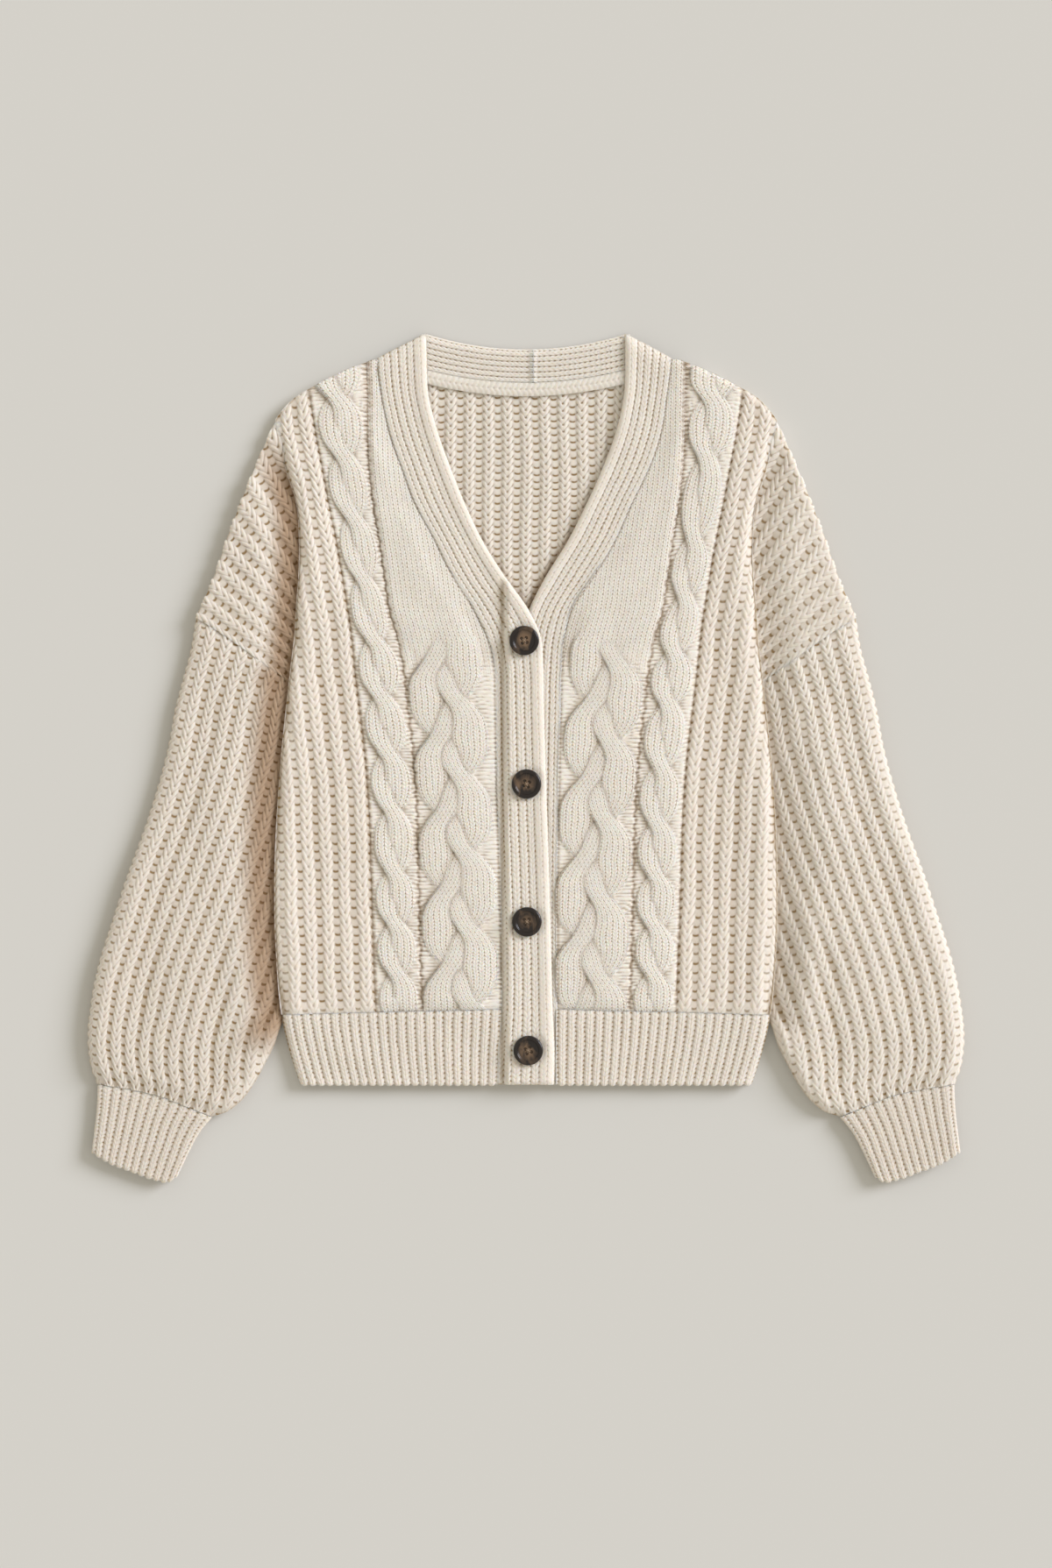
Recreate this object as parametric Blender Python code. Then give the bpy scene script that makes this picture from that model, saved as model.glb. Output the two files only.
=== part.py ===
"""A chunky cable-knit cardigan with balloon sleeves, buttoned and laid flat on its back.

Lengths are in millimetres here and become metres where a mesh is made. X runs across the garment, Y runs
from the hem up to the neck, and Z is up, with the back panel lying on Z = 0. Both halves are alike but for
the fastening, so most shapes are worked out for one half, with s the distance from the middle, and then put
on the wearer's left (side +1) or right (side -1), whose band lies on top.
"""

import bmesh
import bpy
import numpy as np
from mathutils.geometry import delaunay_2d_cdt

MM = 0.001
# Middle of the whole garment's box, up from the line that the heights below are counted from
BOX_MIDDLE = -2.36

# Walls of knitted cloth, and how they lie on each other
SEAM_GAP = 0.4
BACK_WALL = 5.6
FRONT_UNDER = BACK_WALL + SEAM_GAP
FRONT_WALL = 5.0
BAND_WALL = 5.4
BAND_LIFT = BAND_WALL + 0.7
HEM_WALL = 5.6

# Raised knit: the fisherman's ribs, the finer ribs of hem, cuffs and bands, and plain knit
RIB_HEIGHT = 2.3
RIB_PITCH = 17.2
RIB_ROUNDNESS = 0.6
FINE_RIB_HEIGHT = 1.3
PLAIN_HEIGHT = 1.5
PURL_HEIGHT = 0.4
HEM_PITCH = 8.8
NECK_RIB_PITCH = 18.1
CUFF_RIBS = 10
SLEEVE_PITCH = ((-280.0, 14.3), (110.0, 16.6))

# Edges: how far a free edge rounds over, and how deep and wide the trough along a seam is
EDGE_RADIUS = 13.0
EDGE_RIM = 1.6
UNDER_TUCK = 2.2
SEAM_GROOVE = 1.6
SEAM_WIDTH = 6.0
# Each shoulder dips beside the fold where it turns under the body's side
YOKE_DIP, YOKE_DIP_WIDTH = 2.6, 45.0
FOLD_DROP, FOLD_RADIUS = 2.4, 8.0
FOLD_TOP, FOLD_LOW = 320.0, 70.0

# Spacing of the points along outlines, ribs, strands and bands
OUTLINE_STEP = 14.0
RIB_STEP = 24.0
STRAND_STEP = 9.0
BAND_STEP = 13.0
LINE_CLEAR = 3.0

# The fan of ribs over each dropped shoulder: its pivot, the angle of the armhole and of one rib, and the
# ribs from the armhole to the side cable
FAN_PIVOT = (32.8, -67.8)
FAN_ARMHOLE, FAN_RIB = 35.2, 2.8
FAN_RIBS = 11.5

# The side cable's two strands, as shares of the cable's width, and the plait's three
ROPE_SWING, ROPE_STRAND = 0.21, 0.27
ROPE_HEIGHT, ROPE_OVER = 4.0, 1.6
PLAIT_SWING, PLAIT_STRAND = 22.0, 12.5
PLAIT_HEIGHT, PLAIT_OVER = 3.8, 1.5
PLAIT_TOP, PLAIT_BLEND = 122.0, 11.0
STRAND_FLANK = 0.85

# Height of each crossing in the side cables, from the shoulder down to the hem
CROSSINGS = {
    -1: (342, 287, 228, 169, 110, 56, 1, -53, -112, -162, -210),
    1: (342, 285, 207, 152, 98, 49, -11, -66, -116, -164, -210),
}
# Height of the first crossing of each plait, and the way to the next one
PLAIT_FIRST = 106.0
PLAIT_CROSSING = {-1: 36.6, 1: 37.9}

# Half of the body at heights from the hem up. Columns: height, the side's edge (above the underarm, the
# fold), the outer and the inner gap beside the side cable, and the middle of the plait
SIDE, CABLE_OUTER, CABLE_INNER, PLAIT_MIDDLE = 1, 2, 3, 4
BODY = (
    (-316.0, 216.5, 138.0, 96.0, 62.0),
    (-242.0, 234.0, 143.5, 99.5, 62.0),
    (-180.0, 239.5, 146.0, 101.5, 62.8),
    (-120.0, 240.5, 148.0, 103.0, 65.0),
    (-60.0, 238.5, 149.8, 104.5, 68.0),
    (0.0, 234.0, 154.0, 108.0, 71.8),
    (50.0, 229.0, 160.0, 114.0, 75.0),
    (85.0, 225.0, 164.0, 117.8, 78.0),
    (115.0, 221.5, 167.0, 124.0, 80.0),
    (140.0, 220.0, 170.5, 131.0, 81.0),
    (170.0, 217.5, 175.5, 135.3, 82.0),
    (205.0, 217.0, 181.5, 140.5, 83.0),
    (240.0, 219.5, 188.5, 146.0, 84.0),
    (275.0, 230.0, 195.0, 150.3, 85.0),
    (310.0, 238.0, 201.5, 151.8, 86.0),
    (345.0, 244.0, 207.0, 152.5, 87.0),
    (385.0, 250.0, 213.0, 153.5, 88.0),
)
# The front bands. Columns: height, the seam to the front and the free edge of the upper band, then the same
# of the band under it. An edge past the middle is negative
SEAM, EDGE = {-1: 1, 1: 3}, {-1: 2, 1: 4}
BANDS = (
    (-316.0, 29.0, -27.0, 30.2, -12.0),
    (-284.0, 27.5, -27.5, 30.2, -12.0),
    (-242.0, 24.6, -25.8, 30.2, -12.0),
    (-180.0, 24.4, -24.3, 30.2, -12.0),
    (-120.0, 25.9, -22.7, 30.2, -12.0),
    (-60.0, 27.7, -20.6, 31.2, -12.0),
    (0.0, 29.2, -18.8, 32.4, -12.0),
    (50.0, 29.9, -17.5, 33.6, -12.0),
    (85.0, 31.2, -16.8, 34.7, -10.5),
    (115.0, 38.0, -14.0, 37.4, -6.0),
    (140.0, 50.7, -2.2, 44.4, 2.8),
    (170.0, 69.7, 19.0, 64.0, 18.0),
    (205.0, 87.0, 41.0, 85.0, 39.5),
    (240.0, 105.7, 57.7, 100.7, 57.3),
    (275.0, 119.1, 71.8, 117.8, 73.0),
    (310.0, 131.0, 84.3, 129.4, 86.0),
    (345.0, 138.5, 93.2, 134.8, 93.6),
    (381.0, 142.6, 95.0, 139.5, 94.9),
    (405.0, 145.0, 95.6, 143.0, 94.5),
)
# Across a band: the share of its width that one narrow rib takes, the crests, gaps and rolled edge as shares
# of the width, and the heights of both
BAND_WIDTH = 48.0
BAND_RIB, BAND_RIB_HEIGHT = 0.16, 1.1
BAND_COLUMNS = (0.08, 0.16, 0.24, 0.32, 0.4, 0.48, 0.56, 0.64, 0.7, 0.84, 0.94)
BAND_ROLL, BAND_ROLL_HALF, BAND_ROLL_HEIGHT = 0.84, 0.17, 1.9
BAND_RIBS_END = 0.68
# The upper band climbs onto the other between these heights and these distances from the middle
CLIMB_TOP, CLIMB_LOW = 182.0, 156.0
CLIMB_OUT, CLIMB_IN = 24.0, 15.5

# Rows of (s, y). The shoulder from the band out to the armhole, and the armhole back to the underarm
SHOULDER = (
    (142.8, 381.0), (168.0, 371.0), (201.6, 354.5), (222.6, 341.5), (240.0, 321.0),
    (255.0, 288.0), (269.0, 254.0), (284.0, 216.0), (300.0, 170.0), (316.5, 132.0),
)
ARMHOLE = (
    (316.5, 132.0), (302.4, 123.1), (285.6, 112.1), (268.8, 100.4), (252.0, 87.8), (236.0, 76.9),
    (227.6, 70.4),
)
# The sleeve's outer edge down to the cuff, the cuff's seam inwards, and the free inner edge up to the body
SLEEVE_OUTER = (
    (316.9, 130.0), (321.5, 100.0), (328.5, 75.0), (336.0, 46.0), (343.0, 8.0),
    (354.0, -33.0), (368.0, -76.0), (383.0, -117.0), (396.5, -158.0), (410.0, -201.0),
    (417.8, -242.0), (420.3, -268.0), (419.6, -284.0), (416.6, -301.0), (411.5, -315.5),
)
CUFF_SEAM = ((411.5, -315.5), (378.0, -320.5), (350.0, -327.0), (325.0, -337.0), (301.0, -347.0))
SLEEVE_INNER = (
    (301.0, -347.0), (285.0, -341.0), (270.0, -328.0), (259.0, -312.0), (249.5, -294.5), (242.0, -279.5),
    (236.5, -263.0),
)
# The cuff's outer edge down, its open end inwards, and its inner edge up
CUFF_OUTER = ((411.0, -316.0), (412.0, -340.0), (414.5, -362.0), (416.8, -380.5))
CUFF_END = (
    (416.8, -380.5), (400.0, -391.0), (378.0, -399.5), (355.0, -407.5), (343.0, -409.3), (334.0, -404.0),
)
CUFF_INNER = ((334.0, -404.0), (324.5, -384.0), (313.0, -362.5), (301.0, -347.5))
UNDERARM_GAP = 0.6
UNDERARM = 60.0

# The sleeve: rows of height along it and how thick it lies, then its rim, walls and thin hollow
SLEEVE_HEIGHT = ((-345.0, 12.4), (-300.0, 15.6), (-230.0, 17.0), (-100.0, 16.0), (60.0, 13.6), (140.0, 12.6))
SLEEVE_RIM, SLEEVE_RADIUS = 5.0, 24.0
SLEEVE_WALL = 6.0
SLEEVE_SLIT_END, SLEEVE_SLIT_MIDDLE = 1.6, 3.0
SLEEVE_TUCK, SLEEVE_TUCK_RUN = 4.5, 20.0
SLEEVE_HOLLOW_INSET = 10.0
SLEEVE_GATHER = 12.0
HOLLOW_OVERRUN = 10.0
ARMHOLE_WAY, CUFF_WAY = (-0.56, 0.83), (0.28, -0.96)
CUFF_HEIGHT, CUFF_RIM, CUFF_RADIUS = 10.6, 4.4, 12.0
CUFF_WALL, CUFF_SLIT = 4.4, 1.6
CUFF_TUCK, CUFF_HOLLOW_INSET = 2.0, 7.0
CUFF_SPINE = ((362.0, -350.0), (372.0, -385.0))

# Back of the neck: half its width, the neckband's seam and upper edge at the middle and at the side, and
# the strip that covers the seam
NECK_HALF = 95.0
NECK_LOW_MIDDLE, NECK_LOW_SIDE = 357.0, 369.0
NECK_TOP_MIDDLE, NECK_TOP_SIDE = 390.0, 404.5
NECK_BACK_HALF = 128.0
NECK_RIDGES = (98.0, 101.0)
NECK_CORNERS = ((143.0, 381.6), (130.0, 388.0), (116.0, 396.0), (103.0, 403.0))
STRIP_WIDTH, STRIP_HEIGHT, STRIP_INSET = 12.0, 3.2, 3.0
STRIP_REST = BACK_WALL + 1.1
# The back's inner face is ribbed from this height up, inside the neck opening
OPENING_LOW, OPENING_HIGH = 132.0, 150.0

# The hem: its seam at the middle and the side, its open end, and its half width at both
HEM_TOP_MIDDLE, HEM_TOP_SIDE = -243.0, -249.0
HEM_END = -316.0
HEM_SIDE_TOP, HEM_SIDE_END = 233.5, 216.5
HEM_DRAW = 1.3

# Buttons on the upper band: (x, y) of each middle. Profile columns: radius, height
BUTTONS = ((-1.7, 109.6), (0.4, -27.7), (0.8, -159.6), (2.1, -282.7))
BUTTON_PROFILE = (
    (13.0, 0.0), (14.1, 1.1), (14.2, 2.6), (13.2, 3.9), (11.9, 4.2), (10.5, 3.7), (9.4, 2.8), (3.0, 2.5),
)
BUTTON_RADIUS = 14.2
BUTTON_BASE = FRONT_UNDER + BAND_LIFT + BAND_WALL + 0.35
BUTTON_SEGMENTS = 24
HOLE_OFFSET, HOLE_SEGMENTS = 2.8, 8
HOLE_PROFILE = ((1.0, -2.0), (1.0, 8.0))
PRESSED_INSIDE, PRESSED_OUTSIDE = 5.0, 16.0

WOOL = (0.79, 0.70, 0.58, 1.0)
HORN = (0.045, 0.022, 0.012, 1.0)


# ---------------------------------------------------------------- curves, outlines and heights

def smooth(table, index, y):
    """A column of a table at any height: cubic pieces whose slopes at the rows are the mean ones."""
    knots, values = np.array(table, float)[:, [0, index]].T
    slopes = np.gradient(values, knots)
    y = np.asarray(y, float)
    cell = np.clip(np.searchsorted(knots, y) - 1, 0, len(knots) - 2)
    width = knots[cell + 1] - knots[cell]
    t = np.clip((y - knots[cell]) / width, 0.0, 1.0)
    start = (1 + 2 * t) * (1 - t) ** 2 * values[cell] + t * (1 - t) ** 2 * width * slopes[cell]
    end = t * t * (3 - 2 * t) * values[cell + 1] - t * t * (1 - t) * width * slopes[cell + 1]
    return start + end


def body(index, y):
    return smooth(BODY, index, y)


def band_seam(side, y):
    return smooth(BANDS, SEAM[side], y)


def band_edge(side, y):
    return smooth(BANDS, EDGE[side], y)


def step(low, high, value):
    """0 at low, 1 at high, and an even turn between them, whichever of the two is greater."""
    t = np.clip((value - low) / (high - low), 0.0, 1.0)
    return t * t * (3 - 2 * t)


def stack(s, y):
    """Points from distances and heights, either of which may be one number."""
    return np.column_stack(np.broadcast_arrays(np.atleast_1d(s).astype(float), y))


def along(place, low, high, spacing):
    """Points at even heights on an edge whose distance from the middle is place(height)."""
    count = int(abs(high - low) / spacing) + 2
    y = np.linspace(low, high, count)
    return stack(place(y), y)


def spline(points, spacing):
    """An even row of points along a smooth curve through the given ones."""
    points = np.array(points, float)
    knots = np.concatenate([[0.0], np.cumsum(np.hypot(*np.diff(points, axis=0).T))])
    table = np.column_stack([knots, points])
    at = np.linspace(0.0, knots[-1], max(2, int(round(knots[-1] / spacing)) + 1))
    return stack(smooth(table, 1, at), smooth(table, 2, at))


def joined(*lines):
    """One closed outline from lines that follow each other, with no point given twice."""
    points = np.concatenate(lines)
    return points[np.hypot(*(points - np.roll(points, 1, axis=0)).T) > 2 * SEAM_GAP]


def distance(points, line):
    """Distance from each point to a line of straight pieces."""
    start, run = line[:-1], np.diff(line, axis=0)
    share = ((points[:, None] - start) * run).sum(-1) / (run**2).sum(-1)
    nearest = start + np.clip(share, 0.0, 1.0)[..., None] * run
    return np.linalg.norm(points[:, None] - nearest, axis=-1).min(axis=1)


def inside(points, outline):
    """Whether each point lies inside the closed outline, by counting the edges on its right."""
    x, y = points[:, :1], points[:, 1:]
    ax, ay = outline.T
    bx, by = np.roll(outline, -1, axis=0).T
    crosses = (ay > y) != (by > y)
    rise = np.where(by == ay, 1.0, by - ay)
    return (crosses & (x < ax + (y - ay) * (bx - ax) / rise)).sum(axis=1) % 2 == 1


def inset(outline, depth):
    """A closed outline moved inwards by depth, each point along the mean of its two edges' normals."""
    first = outline - np.roll(outline, 1, axis=0)
    second = np.roll(outline, -1, axis=0) - outline
    mean = first / np.hypot(*first.T)[:, None] + second / np.hypot(*second.T)[:, None]
    mean /= np.maximum(np.hypot(*mean.T), 0.5)[:, None]
    depth = np.broadcast_to(np.asarray(depth, float), len(outline))
    return outline + stack(-mean[:, 1], mean[:, 0]) * depth[:, None]


def fallen(away, radius, depth):
    """How far a rounded edge has dropped, at a distance inwards from it."""
    t = 1.0 - np.clip(away / radius, 0.0, 1.0)
    return depth * (1.0 - np.sqrt(1.0 - t * t))


def groove(away, width, depth):
    """A soft trough, deepest at a seam and gone at width from it."""
    return depth * (1.0 - step(0.0, width, away))


def ridge(count):
    """A rounded rib of height 1 between whole counts, with a narrow gap at each whole one."""
    return np.abs(np.sin(np.pi * count)) ** RIB_ROUNDNESS


def split(line, kept):
    """The runs of a line whose points are kept."""
    ends = np.flatnonzero(np.diff(kept.astype(int))) + 1
    return [run for run, keep in zip(np.split(line, ends), np.split(kept, ends)) if keep[0] and len(run) > 1]


def put(side, points):
    """Points of the half garment, put on one side of it, in an order that keeps its outlines running left."""
    placed = np.array(points, float)
    placed[:, 0] *= side
    return placed[::side]


def halves(points):
    """Distance from the middle, height, and both as points of the half garment."""
    s, y = np.abs(points[:, 0]), points[:, 1]
    return s, y, stack(s, y)


# ---------------------------------------------------------------- materials, meshes and solids

def finish(name, colour, roughness):
    material = bpy.data.materials.new(name)
    material.use_nodes = True
    shader = material.node_tree.nodes["Principled BSDF"]
    shader.inputs["Base Color"].default_value = colour
    shader.inputs["Roughness"].default_value = roughness
    return material


def add_object(name, points, faces, material):
    """An object from points in millimetres, with its faces turned outwards."""
    mesh = bpy.data.meshes.new(name)
    placed = (np.asarray(points) - (0.0, BOX_MIDDLE, 0.0)) * MM
    mesh.from_pydata([tuple(point) for point in placed], [], faces)
    bm = bmesh.new()
    bm.from_mesh(mesh)
    bmesh.ops.recalc_face_normals(bm, faces=bm.faces)
    bm.to_mesh(mesh)
    bm.free()
    mesh.shade_smooth()
    mesh.set_sharp_from_angle(angle=np.radians(50.0))
    mesh.materials.append(material)
    thing = bpy.data.objects.new(name, mesh)
    bpy.context.scene.collection.objects.link(thing)
    return thing


def as_cutter(thing):
    thing.hide_render = True
    thing.display_type = "WIRE"
    return thing


def cut(thing, cutter):
    """Takes the cutter out of the object with a Boolean that stays on it."""
    modifier = thing.modifiers.new(cutter.name, "BOOLEAN")
    modifier.operation = "DIFFERENCE"
    modifier.object = as_cutter(cutter)


def filled(outline, lines, clear):
    """Points and triangles inside an outline, with the lines as edges where they keep clear of it."""
    ring = len(outline)
    points, edges, count = [outline], [(i, (i + 1) % ring) for i in range(ring)], ring
    closed = np.vstack([outline, outline[:1]])
    for line in lines:
        kept = inside(line, outline) & (distance(line, closed) > clear)
        places = np.cumsum(kept) - 1 + count
        edges += [(int(places[i]), int(places[i + 1])) for i in np.flatnonzero(kept[:-1] & kept[1:])]
        points.append(line[kept])
        count += int(kept.sum())
    corners = [tuple(point) for point in np.vstack(points)]
    found = delaunay_2d_cdt(corners, edges, [list(range(ring))], 1, 1e-5)
    return np.array(found[0]), [list(face) for face in found[2]]


def solid(name, outline, lines, top, under, material, tuck=UNDER_TUCK, clear=LINE_CLEAR, under_lines=()):
    """A wall of cloth over an outline: a worked upper face, a plain lower one drawn in by tuck, and a rim."""
    ring = len(outline)
    flat, faces = filled(outline, lines, clear)
    upper = np.column_stack([flat, top(flat)])
    low_flat, low_faces = filled(inset(outline, tuck), under_lines, clear)
    lower = np.column_stack([low_flat, under(low_flat)])
    upper[:ring, 2] = np.maximum(upper[:ring, 2], lower[:ring, 2] + EDGE_RIM)
    start = len(upper)
    faces += [[start + i for i in reversed(face)] for face in low_faces]
    faces += [[start + i, start + (i + 1) % ring, (i + 1) % ring, i] for i in range(ring)]
    return add_object(name, np.vstack([upper, lower]), faces, material)


def level(height):
    """A flat face at one height."""
    return lambda points: np.full(len(points), height)


# ---------------------------------------------------------------- edges that several pieces share

def hem_seam(s):
    """Height of the hem's seam."""
    return np.interp(np.abs(s), (0.0, HEM_SIDE_TOP), (HEM_TOP_MIDDLE, HEM_TOP_SIDE))


def hem_side(y):
    """The hem's side, which draws in towards its open end."""
    down = np.clip((HEM_TOP_SIDE - y) / (HEM_TOP_SIDE - HEM_END), 0.0, 1.0)
    return HEM_SIDE_TOP + (HEM_SIDE_END - HEM_SIDE_TOP) * down**HEM_DRAW


def neck_low(x):
    """Height of the neckband's seam across the back of the neck."""
    return NECK_LOW_MIDDLE + (NECK_LOW_SIDE - NECK_LOW_MIDDLE) * (np.abs(x) / NECK_HALF) ** 2


def neck_top(x):
    """Height of the neckband's upper edge across the back of the neck."""
    return NECK_TOP_MIDDLE + (NECK_TOP_SIDE - NECK_TOP_MIDDLE) * (np.abs(x) / NECK_HALF) ** 2


def side_to_shoulder():
    """The half body's outer edge: up the side, round the armhole, and along the shoulder to the neck."""
    side = along(lambda y: body(SIDE, y), HEM_TOP_SIDE + 4.0, UNDERARM, OUTLINE_STEP)
    corner = np.array([(HEM_SIDE_TOP, HEM_TOP_SIDE)])
    return joined(corner, side, spline(ARMHOLE, OUTLINE_STEP)[::-1], spline(SHOULDER, OUTLINE_STEP)[-2::-1])


# ---------------------------------------------------------------- the fronts

def rope_strands(side, y):
    """The side cable's two strands at each height: where each lies, and how high.

    They swing past each other in turn, and the one that runs down to the viewer's right lies on top.
    """
    marks = np.array(CROSSINGS[side], float)[::-1]
    turns = np.arange(len(marks), dtype=float)[::-1]
    lead = marks[1] - marks[0]
    knots = np.concatenate([[marks[0] - lead], marks, [marks[-1] + lead]])
    phase = np.pi * (np.interp(y, knots, np.concatenate([[turns[0] + 1], turns, [-1.0]])) + 0.5)
    swing = side * ROPE_SWING * (body(CABLE_OUTER, y) - body(CABLE_INNER, y)) * np.cos(phase)
    middle = (body(CABLE_OUTER, y) + body(CABLE_INNER, y)) / 2
    over = ROPE_OVER * np.sin(phase)
    return (middle + swing, ROPE_OVER - over), (middle - swing, ROPE_OVER + over)


def plait_strands(side, y):
    """The plait's three strands, a third of a cycle apart, each over the next as it swings outwards."""
    cycle = (PLAIT_FIRST - y) / (6 * PLAIT_CROSSING[side])
    angles = [2 * np.pi * (cycle + strand / 3) for strand in range(3)]
    return [
        (body(PLAIT_MIDDLE, y) + PLAIT_SWING * np.sin(angle), PLAIT_OVER * (1 + np.sin(2 * angle)))
        for angle in angles
    ]


def raised(strands, s, half_width, height):
    """The highest of several round strands at each point, and 0 beside them."""
    best = np.zeros_like(s)
    for middle, level_ in strands:
        bulge = np.maximum(1.0 - ((s - middle) / half_width) ** 2, 0.0)
        best = np.maximum(best, np.where(bulge > 0, level_ + height * np.sqrt(bulge), 0.0))
    return best


def rope(side, s, y):
    """Height of the side cable."""
    half_width = ROPE_STRAND * (body(CABLE_OUTER, y) - body(CABLE_INNER, y))
    return raised(rope_strands(side, y), s, half_width, ROPE_HEIGHT)


def plait(side, s, y):
    """Height of the inner plait, which grows out of plain knit."""
    strands = np.maximum(PURL_HEIGHT, raised(plait_strands(side, y), s, PLAIT_STRAND, PLAIT_HEIGHT))
    return PLAIN_HEIGHT + (strands - PLAIN_HEIGHT) * step(PLAIT_TOP + PLAIT_BLEND, PLAIT_TOP - PLAIT_BLEND, y)


def rib_count(s, y):
    """Ribs counted from the side cable: upright on the body, and a fan over the dropped shoulder."""
    upright = (s - body(CABLE_OUTER, y)) / RIB_PITCH
    angle = np.degrees(np.arctan2(y - FAN_PIVOT[1], s - FAN_PIVOT[0]))
    fan = FAN_RIBS - (angle - FAN_ARMHOLE) / FAN_RIB
    beyond = np.where(y > FOLD_TOP - 20.0, step(0.8, 2.4, upright), np.where(s > body(SIDE, y), 1.0, 0.0))
    return upright + (fan - upright) * beyond


def front_top(side):
    """The front's upper face: the knit of each part of it, less the fall towards its edges and seams."""
    free = along(lambda y: body(SIDE, y), HEM_TOP_SIDE, FOLD_LOW, OUTLINE_STEP)
    shoulder = spline(SHOULDER, OUTLINE_STEP)
    hem_ends = np.array([0.0, HEM_SIDE_TOP])
    seams = (spline(ARMHOLE, OUTLINE_STEP), stack(hem_ends, hem_seam(hem_ends)))

    def height(points):
        s, y, flat = halves(points)
        relief = np.where(s > body(CABLE_INNER, y), rope(side, s, y), plait(side, s, y))
        relief = np.where(s > body(CABLE_OUTER, y), RIB_HEIGHT * ridge(rib_count(s, y)), relief)
        beyond = s - body(SIDE, y)
        folded = step(FOLD_TOP, FOLD_TOP - 50.0, y) * (y > FOLD_LOW)
        dip = YOKE_DIP * (1 - step(0.0, YOKE_DIP_WIDTH, beyond)) * (beyond > 0)
        turn = fallen(-beyond, FOLD_RADIUS, FOLD_DROP) * (beyond <= 0)
        z = FRONT_UNDER + FRONT_WALL + relief - (dip + turn) * folded
        z -= fallen(distance(flat, free), EDGE_RADIUS, FRONT_WALL)
        z -= fallen(distance(flat, shoulder), EDGE_RADIUS, FRONT_WALL)
        for seam in seams:
            z -= groove(distance(flat, seam), SEAM_WIDTH, SEAM_GROOVE)
        z -= groove(s - band_seam(side, y), SEAM_WIDTH, SEAM_GROOVE)
        return np.maximum(z, FRONT_UNDER + EDGE_RIM)

    return height


def strand_lines(middle, half_width, y, low, high):
    """A strand's crest and its two flanks, where they lie between the gaps beside it."""
    lines = []
    for part in (-STRAND_FLANK, 0.0, STRAND_FLANK):
        s = middle + part * half_width
        lines += split(stack(s, y), (s > low + 2.5) & (s < high - 2.5))
    return lines


def rib_lines():
    """The crest and gap of each rib, upright on the body and fanned over the shoulder, and the fold."""
    lines = []
    y = np.arange(370.0, HEM_TOP_SIDE, -RIB_STEP)
    for half_rib in range(13):
        s = body(CABLE_OUTER, y) + half_rib / 2 * RIB_PITCH
        lines += split(stack(s, y), (s < body(SIDE, y) - 3.0) | ((y > FOLD_TOP - 20.0) & (half_rib < 4)))
    reach = np.arange(180.0, 460.0, 20.0)
    for half_rib in range(1, 20):
        angle = np.radians(FAN_ARMHOLE + half_rib / 2 * FAN_RIB)
        s, y = FAN_PIVOT[0] + reach * np.cos(angle), FAN_PIVOT[1] + reach * np.sin(angle)
        lines += split(stack(s, y), (s > body(SIDE, y) + 6.0) & (y > FOLD_LOW))
    for offset in (-FOLD_RADIUS, -1.0, 2.0):
        lines.append(along(lambda y, offset=offset: body(SIDE, y) + offset, 300.0, 80.0, 16.0))
    lines.append(along(lambda y: body(SIDE, y) - 5.0, FOLD_LOW, HEM_TOP_SIDE, RIB_STEP))
    return lines


def front_lines(side):
    """Edges along every rib, gap and strand of the front."""
    lines = rib_lines()
    y = np.arange(362.0, HEM_TOP_MIDDLE, -STRAND_STEP)
    inner, outer = body(CABLE_INNER, y), body(CABLE_OUTER, y)
    for middle, _ in rope_strands(side, y):
        lines += strand_lines(middle, ROPE_STRAND * (outer - inner), y, inner, outer)
    lines.append(along(lambda y: body(CABLE_INNER, y), 350.0, HEM_TOP_MIDDLE, OUTLINE_STEP))
    y = np.arange(PLAIT_TOP, HEM_TOP_MIDDLE, -STRAND_STEP)
    for middle, _ in plait_strands(side, y):
        lines += strand_lines(middle, PLAIT_STRAND, y, band_seam(side, y), body(CABLE_INNER, y))
    y = np.arange(360.0, PLAIT_TOP + PLAIT_BLEND, -RIB_STEP)
    seam, gap = band_seam(side, y), body(CABLE_INNER, y)
    lines += [stack(seam + part * (gap - seam), y) for part in (0.3, 0.7)]
    return [put(side, line) for line in lines if len(line) > 1]


def make_front(side, material):
    """One front with its dropped shoulder: ribs, side cable, plain knit and plait."""
    low_s = np.array([band_seam(side, HEM_TOP_MIDDLE), 99.5, 143.5, 190.0])
    seam = along(lambda y: band_seam(side, y), 375.0, HEM_TOP_MIDDLE + 4.0, OUTLINE_STEP)
    outline = inset(joined(stack(low_s, hem_seam(low_s)), side_to_shoulder(), seam), SEAM_GAP / 2)
    name = "front_right" if side < 0 else "front_left"
    return solid(name, put(side, outline), front_lines(side), front_top(side), level(FRONT_UNDER), material)


# ---------------------------------------------------------------- the back

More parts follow.
